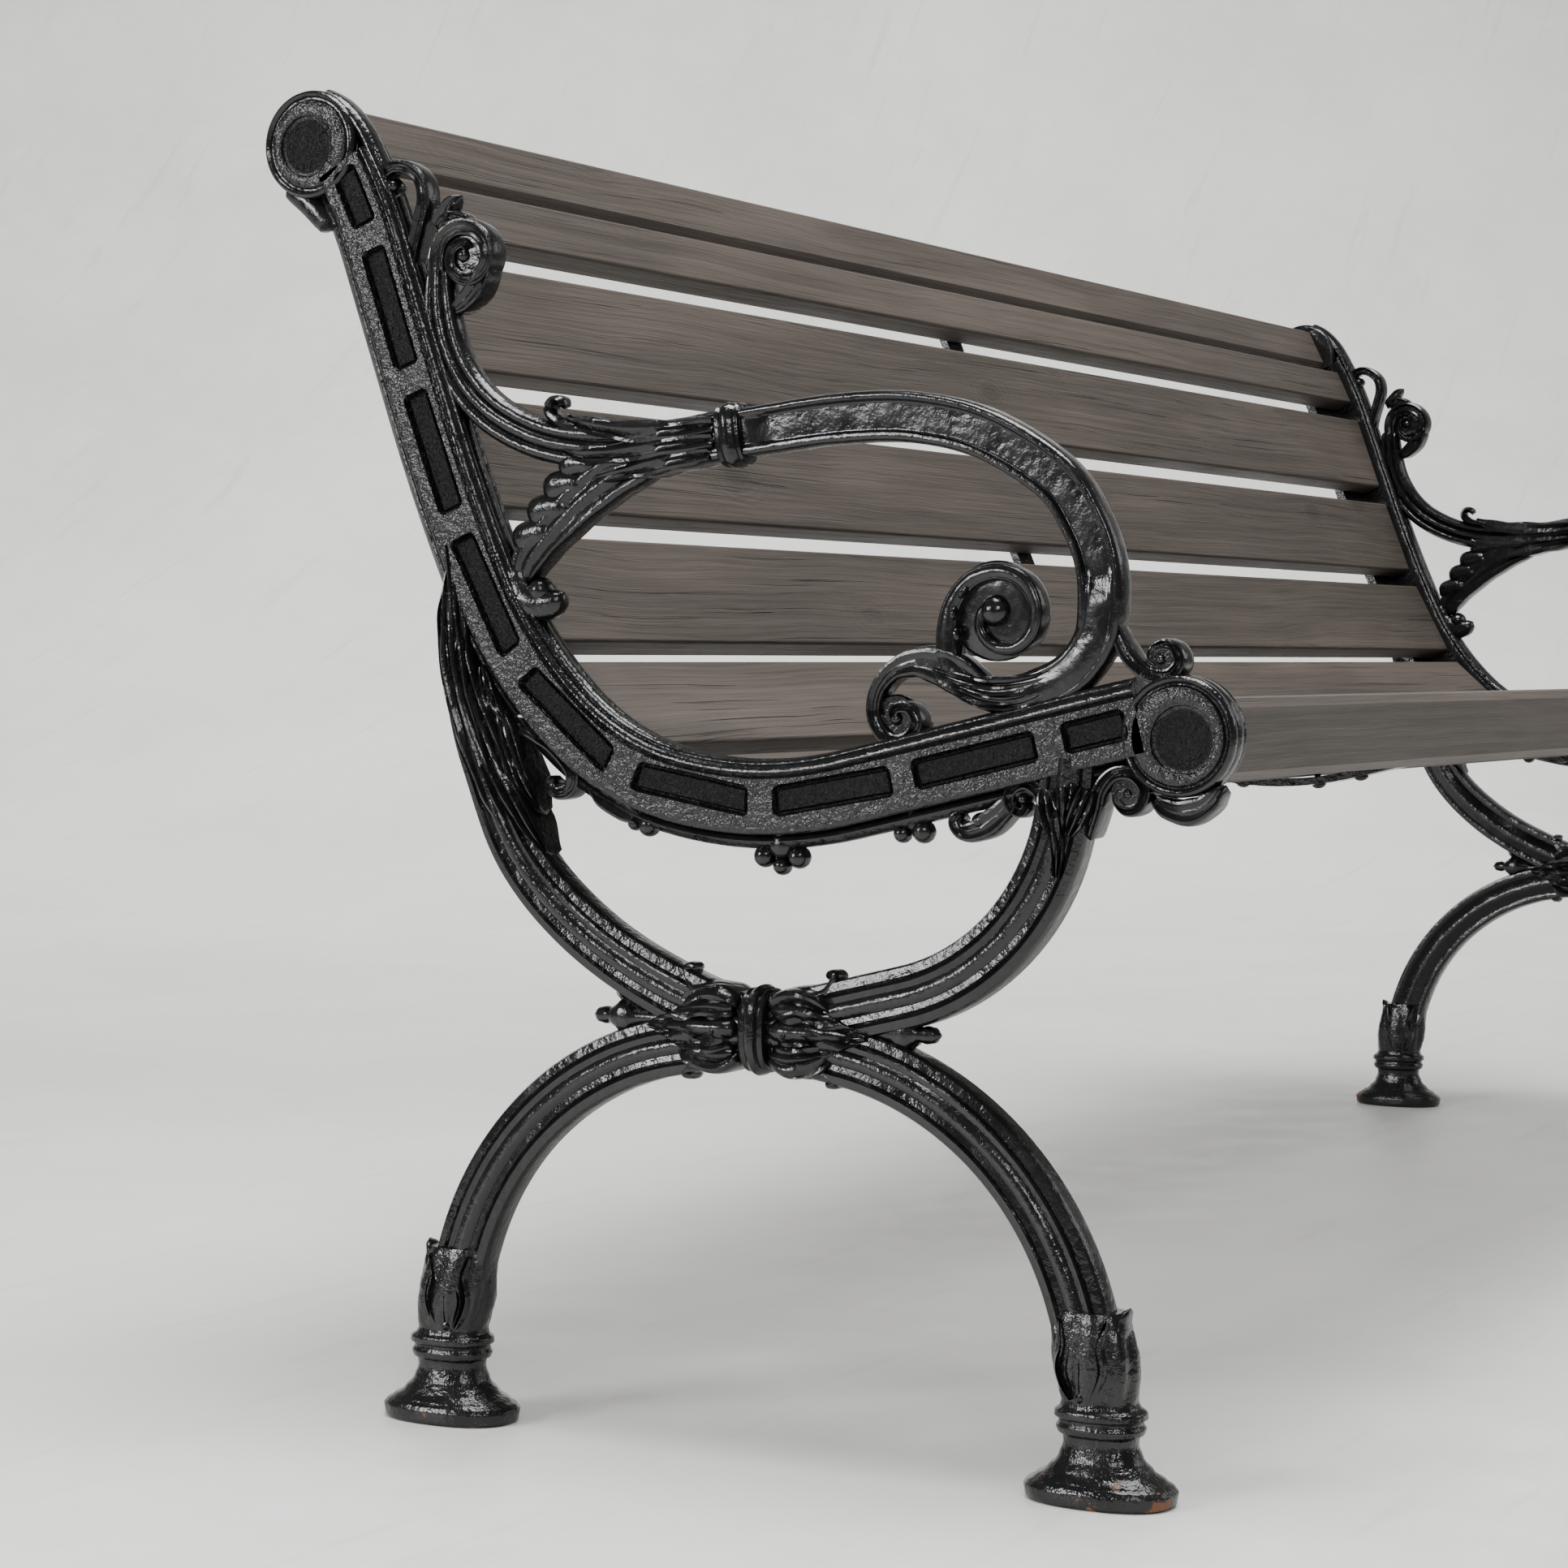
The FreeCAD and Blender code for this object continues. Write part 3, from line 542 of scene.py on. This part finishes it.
scrollSet = {
    "bigCentre": (-181.5, 501.5), "thin": 0.76,
    # short stems that tie the drops to the band's back
    "stems": [[(-42.6, 388), (-42.6, 374), (-42.6, 362)], [(-129, 390), (-129, 381), (-129, 373)],
              [(53, 390), (53, 381), (52, 373)]],
    # each scroll: points, half widths, half depths
    "scrolls": [
        ([(221, 704), (220.6, 722), (216, 741), (212.2, 756), (214.6, 768.6), (223.5, 776.6),
          (234.2, 778.6), (243, 773.6), (245.4, 765.6), (240, 759.4), (232.6, 762.4)],
         [3.5, 4.2, 4.6, 5, 5, 4.8, 4.6, 4.4, 4.2, 3.8, 3.4], [10] * 11),
        ([(219.3, 706), (228.5, 732), (236.5, 750), (241.5, 764)], [3, 3.8, 4.2, 3.4], [9.6] * 4),
        ([(198, 690), (199.4, 704), (201.2, 719), (197, 731.6), (186.6, 738), (174.6, 736.6),
          (165.6, 728), (164.4, 716.6), (171.4, 707.6), (182.6, 706.6), (190.6, 714), (189.8, 724),
          (182, 728.4), (176.4, 722.6)],
         [7, 6.4, 6, 6, 6, 6, 5.8, 5.6, 5.2, 5, 4.6, 4.2, 3.8, 3.2], [11] * 14),
        ([(166, 720), (168, 708), (175, 698), (183, 691), (191, 686)], [3, 6.4, 7.6, 6.6, 3],
         [8, 10.6, 11, 10, 9]),
        ([(205, 738), (199, 746), (193.6, 753.6), (187, 758.6)], [5, 6, 4.6, 2], [9, 10, 9, 5]),
        ([(201, 742), (193, 745), (185, 744), (178, 740)], [3.6, 4.4, 4, 2.4], [9, 10, 9, 7]),
        ([(-176, 447), (-168, 458), (-152, 467.6), (-134, 471.6), (-118, 467), (-107.6, 455), (-105.6, 440),
          (-113.6, 427.6), (-126, 426.4), (-133.4, 436), (-128.6, 445), (-119.6, 444.6), (-117.8, 437)],
         [7, 11, 12, 11, 8.4, 6.2, 5.2, 5, 5, 4.8, 4.4, 3.8, 3], [9, 11, 12, 12] + [11] * 9),
        ([(-254, 497), (-259.5, 485), (-266.6, 474), (-277, 466.4), (-289, 465.6), (-295.6, 473),
          (-292, 481.4), (-283.6, 482.6), (-278.4, 476.6), (-283.4, 472)],
         [3, 4.4, 5.2, 5, 4.6, 4.4, 4, 3.6, 3.2, 2.6], [8, 9, 10, 10, 10, 10, 10, 9.6, 9, 9]),
        ([(-240, 372), (-245.6, 388), (-249, 401), (-257.4, 410), (-268.6, 410), (-275.6, 401.6),
          (-272.4, 392), (-264, 389.6), (-258.6, 396), (-263.4, 401.4)],
         [5, 5, 5, 5, 4.6, 4.4, 4, 3.8, 3.2, 2.6], [11, 12, 12, 12, 11.4, 11, 11, 10.6, 10, 10]),
        ([(-219, 374), (-215.4, 388), (-211, 399), (-202, 403.6), (-193.6, 399), (-193, 390), (-200, 386.6),
          (-204.6, 392)], [5, 5, 4.8, 4.4, 4, 3.8, 3.2, 2.6], [11, 12, 12, 11.6, 11, 11, 10.4, 10]),
        ([(-279, 398), (-288, 391.6), (-300, 389.4), (-312, 394), (-321.6, 405)], [3, 6.4, 8, 6.4, 3],
         [9, 11, 11.4, 11, 9]),
        ([(-196, 397), (-187, 386), (-174, 376.6), (-162.6, 374.4), (-157.6, 380.6), (-162.6, 385.4)],
         [4, 7, 8, 6.4, 4.6, 3.4], [9, 11, 11, 11, 10, 9]),
        ([(88, 396), (76, 386.6), (62, 379.6), (51, 375)], [4, 7, 7, 4], [9, 11, 11, 10]),
        ([(146, 430), (134, 430.4), (121.6, 423.6), (109, 414), (99.6, 402.6), (101.6, 392.6),
          (110.6, 389.6), (116, 395), (112.6, 400)],
         [7, 7.4, 6.4, 5, 5, 5.4, 5, 4, 3], [10, 11, 11, 11, 11, 11, 10.6, 10, 9]),
    ],
    "knobs": [((-181.5, 501.5), 10, 15.5), ((-119.5, 438.6), 4.6, 12.4), ((-284, 474.5), 4.4, 11.4),
              ((-265.5, 399), 4.4, 12.4), ((-200.5, 394.4), 4.2, 12.2), ((236, 766.6), 5, 11.6),
              ((182.2, 720.6), 5.6, 12.6), ((-135.6, 373.6), 7, 10), ((-122, 372), 5.6, 9),
              ((-31.2, 356), 7, 10), ((-54, 356), 7, 10), ((-42.8, 350.4), 5.6, 9.4),
              ((-42.6, 363), 9, 10.4), ((48.6, 371.6), 7, 10), ((58, 372.6), 4.6, 9),
              ((-263, 479), 4, 8), ((-172, 381), 5, 11.4)],
}


def scrolls():
    # every scroll's half depth is its listed depth * thin
    for points, width, depth in scrollSet["scrolls"]:
        carry(lineThrough(points, 1.7), width, np.array(depth) * scrollSet["thin"], rimmed, count=17,
              pebble=0.2)
    for centre, radius, depth in scrollSet["knobs"]:
        knob(centre, radius, depth * scrollSet["thin"])
    for points in scrollSet["stems"]:
        carry(lineThrough(points, 2), [6, 5, 5], 6.5, rounded, count=11)
    # the thin web behind the big scroll's coil
    dished(scrollSet["bigCentre"], [(0, 3.6), (14, 3.6), (27, 3.6), (29, 2), (29, -2), (27, -3.6), (0, -3.6)],
           around=40, pebble=0.1)
    dished((-119, 439), [(0, 5), (13, 5), (14, 3), (14, -3), (13, -5), (0, -5)], around=28)
    dished((182, 721), [(0, 5.4), (16, 5.4), (18, 3), (18, -3), (16, -5.4), (0, -5.4)], around=32)
    dished((-284.5, 474), [(0, 6), (9, 6), (10, 3), (10, -3), (9, -6), (0, -6)], around=24)
    dished((-264.5, 399.5), [(0, 7), (9, 7), (10, 3), (10, -3), (9, -7), (0, -7)], around=24)
    # carved leaves that sweep from the arm's foot into the small scroll
    for points, width in (([(-228, 469), (-206, 461), (-181, 458), (-158, 463), (-140, 469)],
     [3, 5, 6, 5, 2]),
                          ([(-224, 459), (-199, 450), (-176, 450), (-150, 460)], [2, 4.6, 5, 2])):
        carry(lineThrough(points, 1.8), width, [7, 9.6, 10.6, 10, 7], grooves(3), count=17, pebble=0.15)
    # small leaves beside the big scroll
    for y, z, angle in ((-157, 500, 100), (-159, 488, 80), (-163, 512, 130)):
        knob((y, z), 3.4, 11.6, 1.8, angle)


leafSet = {
    # acanthus blades that wrap the rear leg's upper part: points, half widths, half depths, veins
    "blades": [
        ([(188, 548), (187, 505), (182, 462), (171, 424), (154, 385), (136, 356)],
         [1.6, 6, 10, 10.5, 9, 3], [6, 13, 15.6, 16, 15.4, 9], 12),
        ([(176, 499), (178, 478), (173, 455), (162, 428), (146, 396), (128, 368), (116, 350)],
         [2, 6, 8.5, 10, 9.5, 7, 2.5], [8, 13.4, 14.6, 15.4, 15.4, 14.6, 9], 11),
        ([(191, 528), (193, 498), (188, 462), (177, 425), (163, 394)],
         [1.4, 4, 5.2, 5, 2], [6, 12, 14.4, 14.6, 9], 7),
        ([(166, 470), (160, 452), (154, 438), (145, 427)], [2, 5.5, 7, 4], [8, 11, 12, 7], 5),
        ([(152, 442), (143, 421), (133, 398), (122, 376)], [4, 7, 6.4, 2], [9, 13.4, 14, 7], 5),
    ],
    "frontBlades": [
        ([(-216, 404), (-219, 388), (-224, 370), (-224, 348)], [6, 7.5, 5, 2], [13, 15, 14.6, 13], 4),
        ([(-244, 404), (-238, 390), (-230, 372)], [6, 7, 3], [13, 15, 13.4], 4),
        ([(-229, 408), (-229, 396), (-228, 382)], [7, 6, 2], [14, 15.4, 13.6], 3),
    ],
}


def leaves():
    # grooved blades with one soft lobe for every three veins, and at least two
    for points, width, depth, veins in leafSet["blades"] + leafSet["frontBlades"]:
        carry(lineThrough(points, 1.8), width, depth, grooves(3), count=21, lobes=max(veins // 3, 2),
              lobeDepth=0.1, pebble=0.25)


# Mesh and materials

def meshFromShells(name, side, spacing):
    # out becomes x on this side, each shell is turned to face outwards by its signed volume
    vertices, quads, triangles, weights, base = [], [], [], [], 0
    for shell in shells:
        points = shell["vertices"]
        place = np.stack([side * (spacing / 2 + points[:, 0]), points[:, 1], points[:, 2]], -1) / 1000
        q, c = shell["quads"], shell["caps"]
        fan = np.vstack([q[:, [0, 1, 2]], q[:, [0, 2, 3]], c])
        middle = place.mean(0)
        volume = np.einsum("ij,ij->i", np.cross(place[fan[:, 0]] - middle, place[fan[:, 1]] - middle),
                           place[fan[:, 2]] - middle).sum()
        if volume < 0:
            q, c = q[:, ::-1], c[:, ::-1]
        vertices.append(place)
        quads.append(q + base)
        triangles.append(c + base)
        weights.append(shell["pebble"])
        base += len(points)
    return newMesh(name, np.vstack(vertices), np.vstack(quads), np.vstack(triangles),
                   {"pebble": np.concatenate(weights)})


def newMesh(name, vertices, quads, triangles=None, attributes=None):
    # quads take four corners each from the start of the corner list, and triangles three each after them
    mesh = bpy.data.meshes.new(name)
    triangles = np.zeros((0, 3), int) if triangles is None else triangles
    corners = np.concatenate([quads.reshape(-1), triangles.reshape(-1)])
    starts = np.concatenate([np.arange(len(quads)) * 4, len(quads) * 4 + np.arange(len(triangles)) * 3])
    mesh.vertices.add(len(vertices))
    mesh.vertices.foreach_set("co", vertices.astype(np.float32).reshape(-1))
    mesh.loops.add(len(corners))
    mesh.loops.foreach_set("vertex_index", corners.astype(np.int32))
    mesh.polygons.add(len(starts))
    mesh.polygons.foreach_set("loop_start", starts.astype(np.int32))
    mesh.update(calc_edges=True)
    for key, values in (attributes or {}).items():
        mesh.attributes.new(key, "FLOAT", "POINT").data.foreach_set("value", values.astype(np.float32))
    mesh.polygons.foreach_set("use_smooth", np.ones(len(starts), bool))
    mesh.set_sharp_from_angle(angle=math.radians(42))
    mesh.validate()
    item = bpy.data.objects.new(name, mesh)
    bpy.context.scene.collection.objects.link(item)
    return item


class Nodes:
    # short helper for building a material's nodes
    def __init__(self, name):
        self.material = bpy.data.materials.new(name)
        self.material.use_nodes = True
        self.tree = self.material.node_tree
        self.shader = self.tree.nodes["Principled BSDF"]
        self.where = self.tree.nodes.new("ShaderNodeTexCoord").outputs["Object"]

    def link(self, value, socket):
        if hasattr(value, "is_output"):
            self.tree.links.new(value, socket)
        else:
            socket.default_value = value

    def math(self, operation, a, b=0.0, clamp=False):
        node = self.tree.nodes.new("ShaderNodeMath")
        node.operation, node.use_clamp = operation, clamp
        self.link(a, node.inputs[0])
        self.link(b, node.inputs[1])
        return node.outputs[0]

    def stretched(self, scale, offset=(0, 0, 0)):
        node = self.tree.nodes.new("ShaderNodeMapping")
        self.link(self.where, node.inputs["Vector"])
        node.inputs["Scale"].default_value = scale
        node.inputs["Location"].default_value = offset
        return node.outputs[0]

    def noise(self, vector, scale=1.0, detail=3.0, rough=0.5, twist=0.0):
        node = self.tree.nodes.new("ShaderNodeTexNoise")
        self.link(vector, node.inputs["Vector"])
        node.inputs["Scale"].default_value = scale
        node.inputs["Detail"].default_value = detail
        node.inputs["Roughness"].default_value = rough
        node.inputs["Distortion"].default_value = twist
        return node.outputs["Fac"]

    def cells(self, vector, scale, feature="F1", out="Distance"):
        node = self.tree.nodes.new("ShaderNodeTexVoronoi")
        node.feature = feature
        self.link(vector, node.inputs["Vector"])
        node.inputs["Scale"].default_value = scale
        return node.outputs[out]

    def between(self, value, low, high, a=0.0, b=1.0):
        node = self.tree.nodes.new("ShaderNodeMapRange")
        node.interpolation_type = "SMOOTHSTEP"
        for socket, number in (("From Min", low), ("From Max", high), ("To Min", a), ("To Max", b)):
            node.inputs[socket].default_value = number
        self.link(value, node.inputs["Value"])
        return node.outputs[0]

    def mix(self, share, a, b):
        node = self.tree.nodes.new("ShaderNodeMix")
        node.data_type = "RGBA"
        self.link(share, node.inputs[0])
        for socket, value in ((node.inputs[6], a), (node.inputs[7], b)):
            self.link(value if hasattr(value, "is_output") else (*value, 1.0), socket)
        return node.outputs[2]

    def bumped(self, height, strength, distance, normal=None):
        node = self.tree.nodes.new("ShaderNodeBump")
        self.link(height, node.inputs["Height"])
        self.link(strength, node.inputs["Strength"])
        node.inputs["Distance"].default_value = distance
        if normal is not None:
            self.tree.links.new(normal, node.inputs["Normal"])
        return node.outputs[0]

    def attribute(self, name):
        node = self.tree.nodes.new("ShaderNodeAttribute")
        node.attribute_name = name
        return node.outputs["Fac"]

    def height(self):
        node = self.tree.nodes.new("ShaderNodeSeparateXYZ")
        self.link(self.where, node.inputs[0])
        return node.outputs["Z"]

    def wear(self, **sockets):
        for key, value in sockets.items():
            self.link(value, self.shader.inputs[key.replace("_", " ")])


ironSet = {"black": (0.0035, 0.0035, 0.004), "dusty": (0.010, 0.0097, 0.0094), "rust": (0.17, 0.065, 0.026),
           "pebbleSize": 0.0036, "pebbleHeight": 0.0019, "roughness": (0.14, 0.26)}


def ironMaterial(name, hasPebble):
    # thick gloss paint: pebbles from two noises, soft runs from a third, dust in patches, rust near
    # the ground; where pebble is above 1.2 the surface is rougher and mirrors less
    n = Nodes(name)
    size = ironSet["pebbleSize"]
    amount = n.attribute("pebble") if hasPebble else 0.4
    coarse = n.noise(n.where, 1 / size, 2.5, 0.55)
    fine = n.noise(n.where, 3.1 / size, 2.0, 0.5)
    sag = n.noise(n.where, 0.18 / size, 2.0, 0.5)
    dust = n.between(n.noise(n.where, 0.7 / size, 6.0, 0.7), 0.5, 0.72)
    colour = n.mix(n.math("MULTIPLY", dust, 0.55), ironSet["black"], ironSet["dusty"])
    low = n.between(n.height(), 0.009, 0.022, 1.0, 0.0)
    chip = n.between(n.noise(n.stretched((1, 1, 1.6)), 60.0, 5.0, 0.6), 0.61, 0.65)
    spots = n.between(n.noise(n.where, 420.0, 2.0, 0.5), 0.74, 0.765)
    near = n.between(n.height(), 0.05, 0.16, 1.0, 0.0)
    rust = n.math("MAXIMUM", n.math("MULTIPLY", low, chip), n.math("MULTIPLY", spots, near))
    colour = n.mix(n.math("MULTIPLY", rust, 0.85), colour, ironSet["rust"])
    rough = n.between(sag, 0.3, 0.7, *ironSet["roughness"])
    rough = n.math("ADD", rough, n.math("MULTIPLY", rust, 0.4))
    shine = 0.5
    if hasPebble:
        rough = n.math("ADD", rough, n.between(amount, 1.2, 1.6, 0.0, 0.2))
        shine = n.between(amount, 1.2, 1.6, 0.5, 0.16)
    first = n.bumped(coarse, n.math("MULTIPLY", amount, 0.85), ironSet["pebbleHeight"])
    second = n.bumped(fine, n.math("MULTIPLY", amount, 0.32), ironSet["pebbleHeight"] * 0.6, first)
    third = n.bumped(sag, 0.3, ironSet["pebbleHeight"] * 2.2, second)
    n.wear(Base_Color=colour, Roughness=rough, Normal=third, Metallic=0.0, IOR=1.47,
           Specular_IOR_Level=shine)
    return n.material


woodSet = {"body": (0.060, 0.047, 0.0375), "pale": (0.103, 0.084, 0.068), "dark": (0.024, 0.0185, 0.014),
           "crack": (0.018, 0.014, 0.011), "roughness": (0.52, 0.7)}


def woodMaterial(name):
    # painted planks: long grain ridges, thin cracks along x, knots with rings, worn paler streaks
    n = Nodes(name)
    warp = n.noise(n.stretched((3, 9, 9)), 1.0, 2.0)
    shifted = n.tree.nodes.new("ShaderNodeVectorMath")
    shifted.operation = "MULTIPLY_ADD"
    n.link(n.where, shifted.inputs[0])
    shifted.inputs[1].default_value = (1, 1, 1)
    offset = n.tree.nodes.new("ShaderNodeCombineXYZ")
    bend = n.math("MULTIPLY", n.math("SUBTRACT", warp, 0.5), 0.014)
    n.link(bend, offset.inputs[1])
    n.link(bend, offset.inputs[2])
    n.link(offset.outputs[0], shifted.inputs[2])
    plain, n.where = n.where, shifted.outputs[0]
    grain = n.noise(n.stretched((3, 260, 260)), 1.0, 4.0, 0.62)
    fibre = n.noise(n.stretched((22, 900, 900)), 1.0, 3.0, 0.6)
    crackNoise = n.noise(n.stretched((3.2, 430, 430), (3, 0, 0)), 1.0, 2.0, 0.5)
    where = n.noise(n.stretched((2.2, 16, 16), (9, 0, 0)), 1.0, 2.0)
    crack = n.math("MULTIPLY", n.between(crackNoise, 0.64, 0.70), n.between(where, 0.42, 0.60))
    knotPlace = n.stretched((4.2, 9.5, 9.5), (1.7, 0.4, 2.3))
    knot = n.cells(knotPlace, 1.0)
    core = n.between(knot, 0.045, 0.12, 1.0, 0.0)
    rings = n.math("SINE", n.math("MULTIPLY", knot, 150.0))
    halo = n.between(knot, 0.1, 0.32, 1.0, 0.0)
    n.where = plain
    patches = n.noise(n.stretched((2.5, 14, 14)), 1.0, 3.0, 0.6)
    speck = n.noise(n.where, 900.0, 2.0, 0.6)
    colour = n.mix(n.between(grain, 0.3, 0.72), woodSet["dark"], woodSet["body"])
    colour = n.mix(0.22, colour, woodSet["body"])
    colour = n.mix(n.math("MULTIPLY", n.between(patches, 0.42, 0.75), 0.42), colour, woodSet["pale"])
    colour = n.mix(n.math("MULTIPLY", n.between(fibre, 0.45, 0.8), 0.22), colour, woodSet["pale"])
    ringShade = n.math("MULTIPLY", n.math("MULTIPLY", n.between(rings, -0.4, 0.9), halo), 0.1)
    colour = n.mix(ringShade, colour, woodSet["dark"])
    colour = n.mix(n.math("MULTIPLY", core, 0.55), colour, woodSet["dark"])
    colour = n.mix(n.math("MULTIPLY", n.between(speck, 0.62, 0.75), 0.25), colour, woodSet["dark"])
    colour = n.mix(n.math("MULTIPLY", crack, 0.92), colour, woodSet["crack"])
    rough = n.between(patches, 0.3, 0.7, *woodSet["roughness"])
    height = n.math("ADD", n.math("MULTIPLY", grain, 0.7), n.math("MULTIPLY", fibre, 0.3))
    height = n.math("ADD", height, n.math("MULTIPLY", n.math("MULTIPLY", rings, halo), 0.05))
    first = n.bumped(height, 0.75, 0.0015)
    second = n.bumped(n.math("SUBTRACT", 1.0, crack), 0.8, 0.0022, first)
    n.wear(Base_Color=colour, Roughness=rough, Normal=second, IOR=1.45)
    return n.material


def screwMaterial(name):
    # dark steel with brown patches where one noise is high
    n = Nodes(name)
    patch = n.noise(n.where, 420.0, 4.0, 0.6)
    colour = n.mix(n.between(patch, 0.4, 0.7), (0.02, 0.02, 0.021), (0.075, 0.055, 0.042))
    n.wear(Base_Color=colour, Roughness=n.between(patch, 0.3, 0.7, 0.3, 0.6), Metallic=0.6,
           Normal=n.bumped(patch, 0.4, 0.0006))
    return n.material


def floorMaterial(name):
    # pale worn concrete: cloudy tone, faint scuffs and specks
    n = Nodes(name)
    cloud = n.noise(n.where, 1.6, 6.0, 0.65)
    mottle = n.noise(n.where, 14.0, 6.0, 0.7)
    scuff = n.noise(n.stretched((2, 26, 1)), 1.0, 5.0, 0.7, 0.6)
    colour = n.mix(n.between(cloud, 0.3, 0.7), (0.69, 0.685, 0.665), (0.77, 0.765, 0.745))
    colour = n.mix(n.math("MULTIPLY", n.between(mottle, 0.4, 0.75), 0.3), colour, (0.82, 0.815, 0.80))
    colour = n.mix(n.math("MULTIPLY", n.between(scuff, 0.56, 0.74), 0.4), colour, (0.52, 0.51, 0.49))
    n.wear(Base_Color=colour, Roughness=n.between(mottle, 0.3, 0.7, 0.38, 0.55),
           Normal=n.bumped(mottle, 0.12, 0.002))
    return n.material


def paint(item, material):
    # the item wears this material alone
    item.data.materials.clear()
    item.data.materials.append(material)


# Stage, light and camera

stageSet = {"nearest": -9.0, "flat": 3.0, "radius": 4.5, "height": 9.0, "width": 26.0, "azimuth": 61.7}


def backdrop():
    # floor that runs back from the viewer and curves up into a wall, in one sheet
    t = np.linspace(stageSet["nearest"], stageSet["flat"], 40)
    arc = np.linspace(0, np.pi / 2, 40)[1:]
    r = stageSet["radius"]
    depth = np.concatenate([t, stageSet["flat"] + r * np.sin(arc), [stageSet["flat"] + r] * 2])
    rise = np.concatenate([0 * t, r * (1 - np.cos(arc)), [r + 2, stageSet["height"]]])
    side = np.linspace(-stageSet["width"] / 2, stageSet["width"] / 2, 3)
    d, s = np.meshgrid(depth, side, indexing="ij")
    z = np.repeat(rise[:, None], 3, 1)
    a = math.radians(90 - stageSet["azimuth"])
    x = d * math.cos(a) + s * math.sin(a)
    y = d * math.sin(a) - s * math.cos(a)
    points = np.stack([x, y, z], -1).reshape(-1, 3)
    i, j = np.meshgrid(np.arange(len(depth) - 1), np.arange(2), indexing="ij")
    quads = np.stack([i * 3 + j, i * 3 + j + 1, (i + 1) * 3 + j + 1, (i + 1) * 3 + j], -1).reshape(-1, 4)
    item = newMesh("studio_floor", points, quads[:, ::-1])
    paint(item, floorMaterial("pale_floor"))


def areaLight(name, place, target, size, power, colour=(1, 1, 1)):
    # a rectangle that looks along target - place
    data = bpy.data.lights.new(name, "AREA")
    data.shape, data.size, data.size_y = "RECTANGLE", size[0], size[1]
    data.energy, data.color = power, colour
    item = bpy.data.objects.new(name, data)
    bpy.context.scene.collection.objects.link(item)
    item.location = place
    item.rotation_euler = (Vector(target) - Vector(place)).to_track_quat("-Z", "Y").to_euler()


def lights():
    # softboxes above, at both sides and where the outer faces mirror them, and one on the wall
    areaLight("overhead", (-0.6, -0.4, 4.0), (-0.3, 0, 0), (2.6, 1.8), 300)
    areaLight("front_left", (-4.6, -2.6, 2.6), (-0.6, 0, 0.4), (1.2, 1.1), 80)
    areaLight("mirrored", (-4.7, 2.5, 2.0), (-0.9, 0, 0.55), (1.7, 1.3), 190)
    areaLight("front_right", (2.6, -3.6, 2.4), (0, 0, 0.4), (2.6, 2.2), 40)
    areaLight("wall_wash", (1.8, 1.7, 3.4), (6.2, 4.6, 1.4), (4.5, 1.4), 270)
    world = bpy.context.scene.world or bpy.data.worlds.new("studio")
    bpy.context.scene.world = world
    world.use_nodes = True
    world.node_tree.nodes["Background"].inputs[0].default_value = (0.93, 0.94, 0.95, 1)
    world.node_tree.nodes["Background"].inputs[1].default_value = 0.22


cameraSet = {"place": (-2.78915, -1.05657, 0.4802), "azimuth": 28.294, "roll": 0.4615, "lens": 83.13,
             "shiftX": 0.0, "shiftY": -0.0878}


def camera():
    # looks along (cos azimuth, sin azimuth), level, then turned about that line by the roll
    data = bpy.data.cameras.new("camera")
    data.sensor_width, data.lens = 36.0, cameraSet["lens"]
    data.shift_x, data.shift_y = cameraSet["shiftX"], cameraSet["shiftY"]
    data.dof.use_dof = False
    item = bpy.data.objects.new("camera", data)
    bpy.context.scene.collection.objects.link(item)
    item.location = cameraSet["place"]
    a, roll = math.radians(cameraSet["azimuth"]), math.radians(cameraSet["roll"])
    ahead = Vector((math.cos(a), math.sin(a), 0))
    level = Vector((math.sin(a), -math.cos(a), 0))
    up = Vector((0, 0, 1))
    right = level * math.cos(roll) + up * math.sin(roll)
    top = up * math.cos(roll) - level * math.sin(roll)
    item.rotation_euler = Matrix((right, top, -ahead)).transposed().to_euler()
    bpy.context.scene.camera = item


# Build

backdrop()
lights()
camera()
print("stage, light and camera ready")

band()
rolls()
legs()
feet()
crossing()
arm()
brace()
armDrop()
scrolls()
leaves()
ironPaint = ironMaterial("black_iron_paint", True)
for side, word in ((-1, "left"), (1, "right")):
    casting = meshFromShells("cast_end_" + word, side, 1810)
    paint(casting, ironPaint)
    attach(casting, "root")
    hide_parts("end_casting_" + word)
    corners = sum(len(face.vertices) - 2 for face in casting.data.polygons)
    print("cast end", word, "has", corners, "triangles")

wood = woodMaterial("weathered_board_paint")
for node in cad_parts:
    if "slat" in node or "rail" in node:
        paint(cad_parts[node], wood)
strapPaint = ironMaterial("strap_paint", False)
paint(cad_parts["centre_strap"], strapPaint)
screwPaint = screwMaterial("dark_screws")
for node in ("strap_screws", "ledge_screws_left", "ledge_screws_right"):
    paint(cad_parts[node], screwPaint)
print("boards, strap and screws painted")
